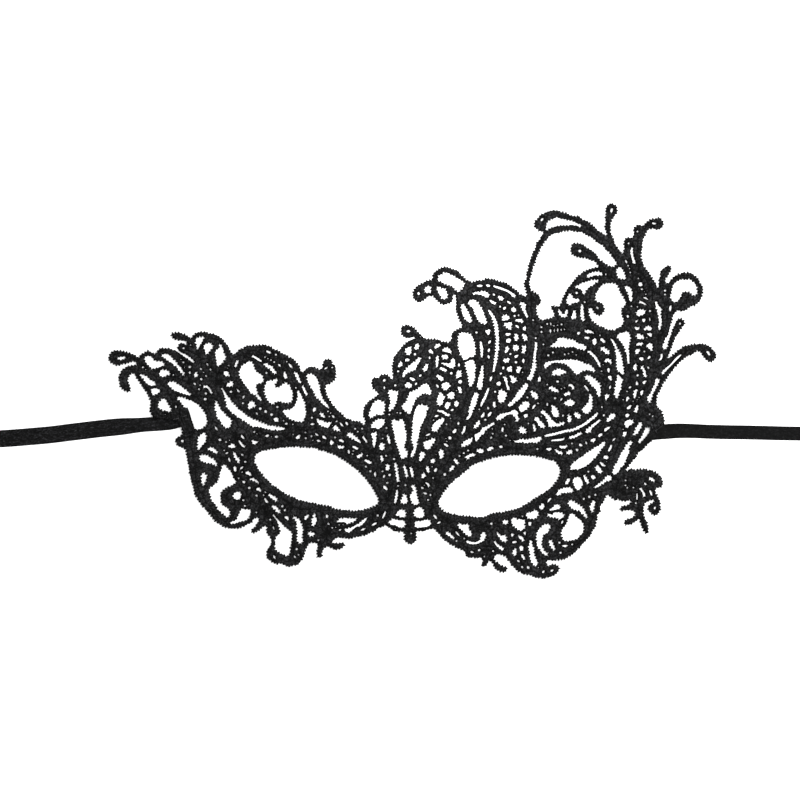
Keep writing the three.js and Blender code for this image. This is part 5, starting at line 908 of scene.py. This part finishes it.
def rise(t):
    """A smooth step from 0 to 1."""
    t = np.clip(t, 0, 1)
    return t * t * (3 - 2 * t)


def tie_cover(points):
    """How far the lace lifts over a tie's sewn end at each point, in millimetres."""
    lift = np.zeros(len(points))
    for middle in (LEFT_TIE, RIGHT_TIE):
        line = np.array(middle) / MM
        for a, b in zip(line, line[1:]):
            along = b - a
            t = np.clip((points - a) @ along / (along @ along), 0, 1)
            away = np.linalg.norm(points - a - t[:, None] * along, axis=1) - TIE_WIDTH / 2 - GAP
            lift = np.maximum(lift, 1 - rise((away - COVER_CLEAR) / COVER_SLOPE))
    return lift * (TIE_THICK + GAP)


def lace_height(crest, field, rim_away):
    """Height of the lace's face in millimetres, from its places across a cord, a field and an eye rim."""
    cord = SIDE_HEIGHT + CORD_RISE * np.sqrt(1 - (1 - crest) ** 2)
    across = np.clip(rim_away / RIM_WIDTH, 0, 1)
    rim = RIM_RISE * np.sqrt(np.maximum(0, 1 - (2 * across - 1) ** 2))
    return cord - FIELD_DIP * field + rim * (crest > 0)


def add_lace(node):
    """The embroidered lace: rounded cords along every edge, dished fields between, and padded eye rims."""
    rng = np.random.default_rng(SEED)
    edges, eyes = lace_edges(node, rng)
    edge = np.vstack(edges)
    top, top_faces, _ = fill(edge, loop_links(edges), FACE_STEP, FACE_CLEAR, rng)
    # The back has the same edges as the face and fewer points between them
    border = open_edges(top_faces)
    corners, compact = np.unique(border, return_inverse=True)
    compact = compact.reshape(-1, 2)
    back, back_faces, place = fill(top[corners], compact, BACK_STEP, BACK_CLEAR, rng)
    below = place[compact] + len(top)
    walls = np.column_stack([border[:, ::-1], below])
    edge_point, away = nearest(point_tree(edge), top)
    away[corners] = 0
    _, rim_away = nearest(point_tree(np.vstack(eyes)), top)
    # From 0 at an edge to 1 on a cord's crest, and from 0 beside a cord to 1 in the middle of a field
    crest = np.minimum(away / CORD_RADIUS, 1)
    field = rise((away - FIELD_START) / (FIELD_END - FIELD_START))
    height = lace_height(crest, field, rim_away) + tie_cover(top)
    vertices = np.vstack([np.column_stack([top, height]), np.column_stack([back, tie_cover(back)])]) * MM
    faces = top_faces.tolist() + (back_faces[:, ::-1] + len(top)).tolist() + walls.tolist()
    piece = new_object("lace_embroidery", vertices, faces)
    travel = np.concatenate([np.arange(len(loop)) * EDGE_STEP for loop in edges])
    # The UV's v carries this profile to the lace material, which paints shade and highlight from it; the
    # padded eye rims get no painted field shade
    face_uv = np.column_stack([travel[edge_point], crest + field * (rim_away > RIM_WIDTH)])
    add_uv(piece, np.vstack([face_uv, np.tile([0, 1], (len(back), 1))]))
    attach(piece, "root")
    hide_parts("lace")
    return piece


# Sewing


def surface_tree(pieces):
    """A tree that finds the surface of some pieces."""
    vertices = []
    faces = []
    for piece in pieces:
        faces += [[len(vertices) + v for v in polygon.vertices] for polygon in piece.data.polygons]
        vertices += [v.co for v in piece.data.vertices]
    return BVHTree.FromPolygons(vertices, faces)


def surface_height(tree, place):
    """Height of the highest surface at a place, in metres."""
    above = Vector((place.x, place.y, 1))
    hit = tree.ray_cast(above, Vector((0, 0, -1)))[0]
    return hit.z if hit else 0.0


def add_tail(name, tail, tree):
    """A tie's cut end, folded forward and sewn down along the strand below it."""
    line = spline([(x * MM, y * MM, 0) for x, y, _ in tail], MM)
    steps = np.linspace(0, len(tail) - 1, len(line))
    widths = np.interp(steps, range(len(tail)), [width for _, _, width in tail])
    route = []
    for i, (p, width) in enumerate(zip(line, widths)):
        along = (line[min(i + 1, len(line) - 1)] - line[max(i - 1, 0)]).normalized()
        side = Vector((-along.y, along.x, 0)) * width * MM * TAIL_PROBE
        height = max(surface_height(tree, q) for q in (p - side, p, p + side))
        route.append((p.x, p.y, height + TIE_THICK * MM / 2, 0.0))
    return ribbon_strip(name, route, widths)


def add_stitches(name, stitches, tree):
    """Hand stitches: short threads that come up through the lace, pass over it and go down again."""
    radius = SEWING_THICK * MM / 2
    vertices = []
    faces = []
    for x1, y1, x2, y2 in stitches:
        start, end = Vector((x1, y1, 0)) * MM, Vector((x2, y2, 0)) * MM
        along = (end - start).normalized()
        level = Vector((-along.y, along.x, 0))
        faces += tube_faces(SEWING_RINGS, SEWING_SIDES, len(vertices))
        for t in np.linspace(0, 1, SEWING_RINGS):
            middle = start.lerp(end, t)
            lift = SEWING_LIFT * MM * math.sqrt(math.sin(math.pi * t)) - radius
            middle.z = max(surface_height(tree, middle) + lift, radius)
            for k in range(SEWING_SIDES):
                turn = TAU * k / SEWING_SIDES
                outward = level * math.cos(turn) + Vector((0, 0, math.sin(turn)))
                vertices.append(middle + outward * radius)
    piece = new_object(name, vertices, faces)
    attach(piece, "root")
    return piece


# Materials


def linear(hex_colour):
    """An sRGB hex colour as linear RGBA."""
    parts = [int(hex_colour[i:i + 2], 16) / 255 for i in (1, 3, 5)]
    return (*[p / 12.92 if p <= 0.04045 else ((p + 0.055) / 1.055) ** 2.4 for p in parts], 1)


def add_node(tree, kind, inputs=None, stops=(), **settings):
    """A node with its settings, its inputs and, on a colour ramp, its stops of position and sRGB colour.

    An input is a value, or a node or socket that is linked to it.
    """
    node = tree.nodes.new(kind)
    for name, value in settings.items():
        setattr(node, name, value)
    for name, value in (inputs or {}).items():
        if isinstance(value, bpy.types.Node):
            value = value.outputs[0]
        if isinstance(value, bpy.types.NodeSocket):
            tree.links.new(value, node.inputs[name])
        else:
            node.inputs[name].default_value = value
    # A new ramp has two stops
    for _ in stops[2:]:
        node.color_ramp.elements.new(0.5)
    for i, (position, colour) in enumerate(stops):
        node.color_ramp.elements[i].position = position
        node.color_ramp.elements[i].color = linear(colour)
    return node


def weighted_sum(tree, base, parts):
    """A base value or pattern, with each other pattern added to it times its weight."""
    total = base
    for pattern, weight in parts:
        inputs = {0: pattern, 1: weight, 2: total}
        total = add_node(tree, "ShaderNodeMath", inputs, operation="MULTIPLY_ADD")
    return total


def new_material(name):
    """A node material, its tree, and the place on the object that its patterns start from, in metres."""
    material = bpy.data.materials.new(name)
    material.use_nodes = True
    tree = material.node_tree
    tree.nodes.clear()
    return material, tree, add_node(tree, "ShaderNodeNewGeometry").outputs["Position"]


def close_material(tree, height, relief, strength, finish):
    """The end of a material: its bump, with the relief in millimetres, its shader and its output."""
    inputs = {"Height": height, "Distance": relief * MM, "Strength": strength}
    bump = add_node(tree, "ShaderNodeBump", inputs)
    shader = add_node(tree, "ShaderNodeBsdfPrincipled", {**finish, "Normal": bump})
    add_node(tree, "ShaderNodeOutputMaterial", {"Surface": shader})


def lace_material():
    """Matt polyester thread, machine embroidered in satin stitch across every cord.

    It gives a soft black, mottled by loose fibres, with painted shade where a cord rolls off to its edge,
    in the dished fields and between the stitch turns, and a painted highlight on each cord's crest.
    """
    material, tree, place = new_material("black_polyester_thread_machine_embroidered")
    thread = add_node(tree, "ShaderNodeUVMap", uv_map="thread")
    # From 0 at an edge, over 1 on a cord's crest, to 2 in the middle of a field
    across = add_node(tree, "ShaderNodeSeparateXYZ", {"Vector": thread}).outputs["Y"]
    halved = add_node(tree, "ShaderNodeMath", {0: across, 1: 2.0}, operation="DIVIDE")
    # Painted shade and highlight from the relief: dark at a cord's edge, white on its crest as a painted
    # highlight, grey as painted shade in a dished field
    cord = add_node(tree, "ShaderNodeValToRGB", {"Fac": halved},
                    stops=[(0.05, EDGE_SHADE_GREY), (0.42, WHITE), (0.58, WHITE), (0.95, FIELD_SHADE_GREY)])
    # Stitch bands: the real relief of the thread's turns in the bump, and painted shade between the turns
    # in the tone
    stitches = add_node(tree, "ShaderNodeTexWave", {
        "Vector": thread, "Scale": WAVE_UNIT / STITCH_PITCH, "Distortion": 3.0, "Detail": 2.0,
        "Detail Scale": 3.0}, wave_type="BANDS", bands_direction="X")
    fuzz = add_node(tree, "ShaderNodeTexNoise", {
        "Vector": place, "Scale": 1 / (FUZZ_SIZE * MM), "Detail": 2.0})
    patches = add_node(tree, "ShaderNodeTexNoise", {
        "Vector": place, "Scale": 1 / (PATCH_SIZE * MM), "Detail": 4.0})
    # Tone: the cord ramp's painted shade and highlight, the stitch bands' painted shade, and the fuzz and
    # patch noise
    tone = weighted_sum(tree, LACE_TONE, [(cord, 0.1), (stitches, 0.3), (fuzz, 1.65), (patches, 0.55)])
    colour = add_node(tree, "ShaderNodeValToRGB", {"Fac": tone},
                      stops=[(0.1, THREAD_DARK), (0.5, THREAD), (0.95, THREAD_LIGHT)])
    height = weighted_sum(tree, fuzz, [(stitches, 0.7)])
    close_material(tree, height, relief=0.2, strength=1.0, finish={
        "Base Color": colour, "Roughness": 0.7, "Specular IOR Level": 0.04})
    return material


def ribbon_material(name, fibres, base_tone, light):
    """Woven polyester satin: long floats give faint streaks along it, and loose fibres catch the light.

    The more fibres stand up, the more pale thin lines show, as on the tie that has been rubbed.
    """
    material, tree, place = new_material(name)
    weave = add_node(tree, "ShaderNodeUVMap", uv_map="thread")
    yarns = add_node(tree, "ShaderNodeTexWave", {
        "Vector": weave, "Scale": WAVE_UNIT / YARN_PITCH, "Distortion": 0.6},
        wave_type="BANDS", bands_direction="X")
    stretched = add_node(tree, "ShaderNodeMapping", {
        "Vector": weave, "Scale": (1 / STREAK_LENGTH, 1 / STREAK_WIDTH, 1)})
    streaks = add_node(tree, "ShaderNodeTexNoise", {
        "Vector": stretched, "Scale": 1.0, "Detail": 2.0, "Distortion": 1.0})
    grain = add_node(tree, "ShaderNodeTexNoise", {
        "Vector": place, "Scale": 1 / (FUZZ_SIZE * MM), "Detail": 2.0})
    # A thin bright line wherever the streaks pass their middle value
    apart = add_node(tree, "ShaderNodeMath", {0: streaks, 1: 0.5}, operation="SUBTRACT")
    apart = add_node(tree, "ShaderNodeMath", {0: apart}, operation="ABSOLUTE")
    fibre = add_node(tree, "ShaderNodeMath", {0: apart, 1: -FIBRE_SHARPNESS, 2: 1.0},
                     operation="MULTIPLY_ADD", use_clamp=True)
    tone = weighted_sum(tree, base_tone, [(streaks, 0.7), (grain, 0.8), (fibre, fibres)])
    colour = add_node(tree, "ShaderNodeValToRGB", {"Fac": tone},
                      stops=[(0.3, SATIN_DARK), (0.48, SATIN), (0.75, light)])
    height = weighted_sum(tree, grain, [(yarns, 0.5)])
    close_material(tree, height, relief=0.06, strength=0.6, finish={
        "Base Color": colour, "Roughness": 0.6, "Specular IOR Level": 0.045})
    return material


def sewing_material():
    """Twisted polyester sewing thread: paler than the lace, because it stands up into the light."""
    material, tree, place = new_material("black_polyester_sewing_thread_twisted")
    twist = add_node(tree, "ShaderNodeTexWave", {
        "Vector": place, "Scale": WAVE_UNIT / (PLY_PITCH * MM), "Distortion": 1.0},
        wave_type="BANDS", bands_direction="DIAGONAL")
    colour = add_node(tree, "ShaderNodeValToRGB", {"Fac": twist},
                      stops=[(0.2, SEWING_DARK), (0.8, SEWING_LIGHT)])
    close_material(tree, twist, relief=0.05, strength=0.5, finish={
        "Base Color": colour, "Roughness": 0.6, "Specular IOR Level": 0.15})
    return material


def floor_material():
    """Matt white painted board, almost even, with a grain that only just breaks up its white."""
    material, tree, place = new_material("white_board_matt_painted")
    grain = add_node(tree, "ShaderNodeTexNoise", {
        "Vector": place, "Scale": 1 / (FLOOR_GRAIN * MM), "Detail": 2.0})
    colour = add_node(tree, "ShaderNodeValToRGB", {"Fac": grain}, stops=[(0.0, FLOOR), (1.0, WHITE)])
    close_material(tree, grain, relief=0.02, strength=0.02, finish={
        "Base Color": colour, "Roughness": 0.9, "Specular IOR Level": 0.1})
    return material


# Surroundings


def add_floor():
    """The pale surface that the mask lies on."""
    corners = [(x * FLOOR_HALF, y * FLOOR_HALF, 0) for x, y in ((-1, -1), (1, -1), (1, 1), (-1, 1))]
    floor = new_object("floor", corners, [(0, 1, 2, 3)])
    floor.data.materials.append(floor_material())


def add_light(data, location, aim, power):
    """A light aimed at a place on the mask, and not seen itself."""
    data.energy = power
    light = bpy.data.objects.new(data.name, data)
    bpy.context.scene.collection.objects.link(light)
    light.visible_camera = False
    light.location = location
    light.rotation_euler = (Vector(location) - Vector(aim)).to_track_quat("Z", "Y").to_euler()


def add_lights():
    """A soft key light from the right, and a soft spot that brightens the middle of the crest."""
    key = bpy.data.lights.new("key", "AREA")
    key.size = KEY_SIZE
    add_light(key, KEY_PLACE, (0, 0, 0), KEY_POWER)
    spot = bpy.data.lights.new("spot", "SPOT")
    spot.spot_blend = 1
    spot.spot_size = 2 * math.atan(SPOT_RADIUS / math.dist(SPOT_PLACE, SPOT_AIM))
    spot.shadow_soft_size = SPOT_SOFTNESS
    add_light(spot, SPOT_PLACE, SPOT_AIM, SPOT_POWER)


def add_world():
    """Even white surroundings."""
    world = bpy.data.worlds.new("world")
    world.use_nodes = True
    background = world.node_tree.nodes["Background"]
    background.inputs["Color"].default_value = linear(WHITE)
    background.inputs["Strength"].default_value = WORLD_STRENGTH
    bpy.context.scene.world = world


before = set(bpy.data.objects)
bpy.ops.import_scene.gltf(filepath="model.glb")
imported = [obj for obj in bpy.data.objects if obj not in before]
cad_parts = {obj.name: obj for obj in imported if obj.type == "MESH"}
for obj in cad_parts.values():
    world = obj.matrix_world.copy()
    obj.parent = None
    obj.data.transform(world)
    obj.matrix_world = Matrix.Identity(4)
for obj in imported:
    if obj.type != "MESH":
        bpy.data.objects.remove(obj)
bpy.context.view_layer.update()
add_camera()

# Pieces: the ties first, then the lace over them, then what is folded and sewn on top
left_tie = add_tie("tie_left", LEFT_TIE, LEFT_WIDTHS, -1, ("ribbon_left", "ribbon_left_coil"))
right_tie = add_tie("tie_right", RIGHT_TIE, RIGHT_WIDTHS, 1, ("ribbon_right", "ribbon_right_coil"))
lace = add_lace(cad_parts["lace"])
sewn = [lace, left_tie, right_tie]
surfaces = surface_tree(sewn)
left_tail = add_tail("tie_left_tail", LEFT_TAIL, surfaces)
right_tail = add_tail("tie_right_tail", RIGHT_TAIL, surfaces)
surfaces = surface_tree([*sewn, left_tail, right_tail])
left_sewing = add_stitches("stitches_left", LEFT_STITCHES, surfaces)
right_sewing = add_stitches("stitches_right", RIGHT_STITCHES, surfaces)

# Finishes: the left tie is rubbed, the right one isn't
finishes = [
    ([left_tie, left_tail], ribbon_material(
        "black_polyester_satin_woven_ribbon_rubbed", RUBBED_FIBRES, RUBBED_TONE, FIBRE_LIGHT)),
    ([right_tie, right_tail], ribbon_material(
        "black_polyester_satin_woven_ribbon_smooth", SMOOTH_FIBRES, SMOOTH_TONE, SATIN_LIGHT)),
    ([lace], lace_material()),
    ([left_sewing, right_sewing], sewing_material()),
]
for pieces, material in finishes:
    for piece in pieces:
        piece.data.materials.append(material)

add_floor()
add_world()
add_lights()
bpy.context.scene.view_settings.view_transform = "Standard"
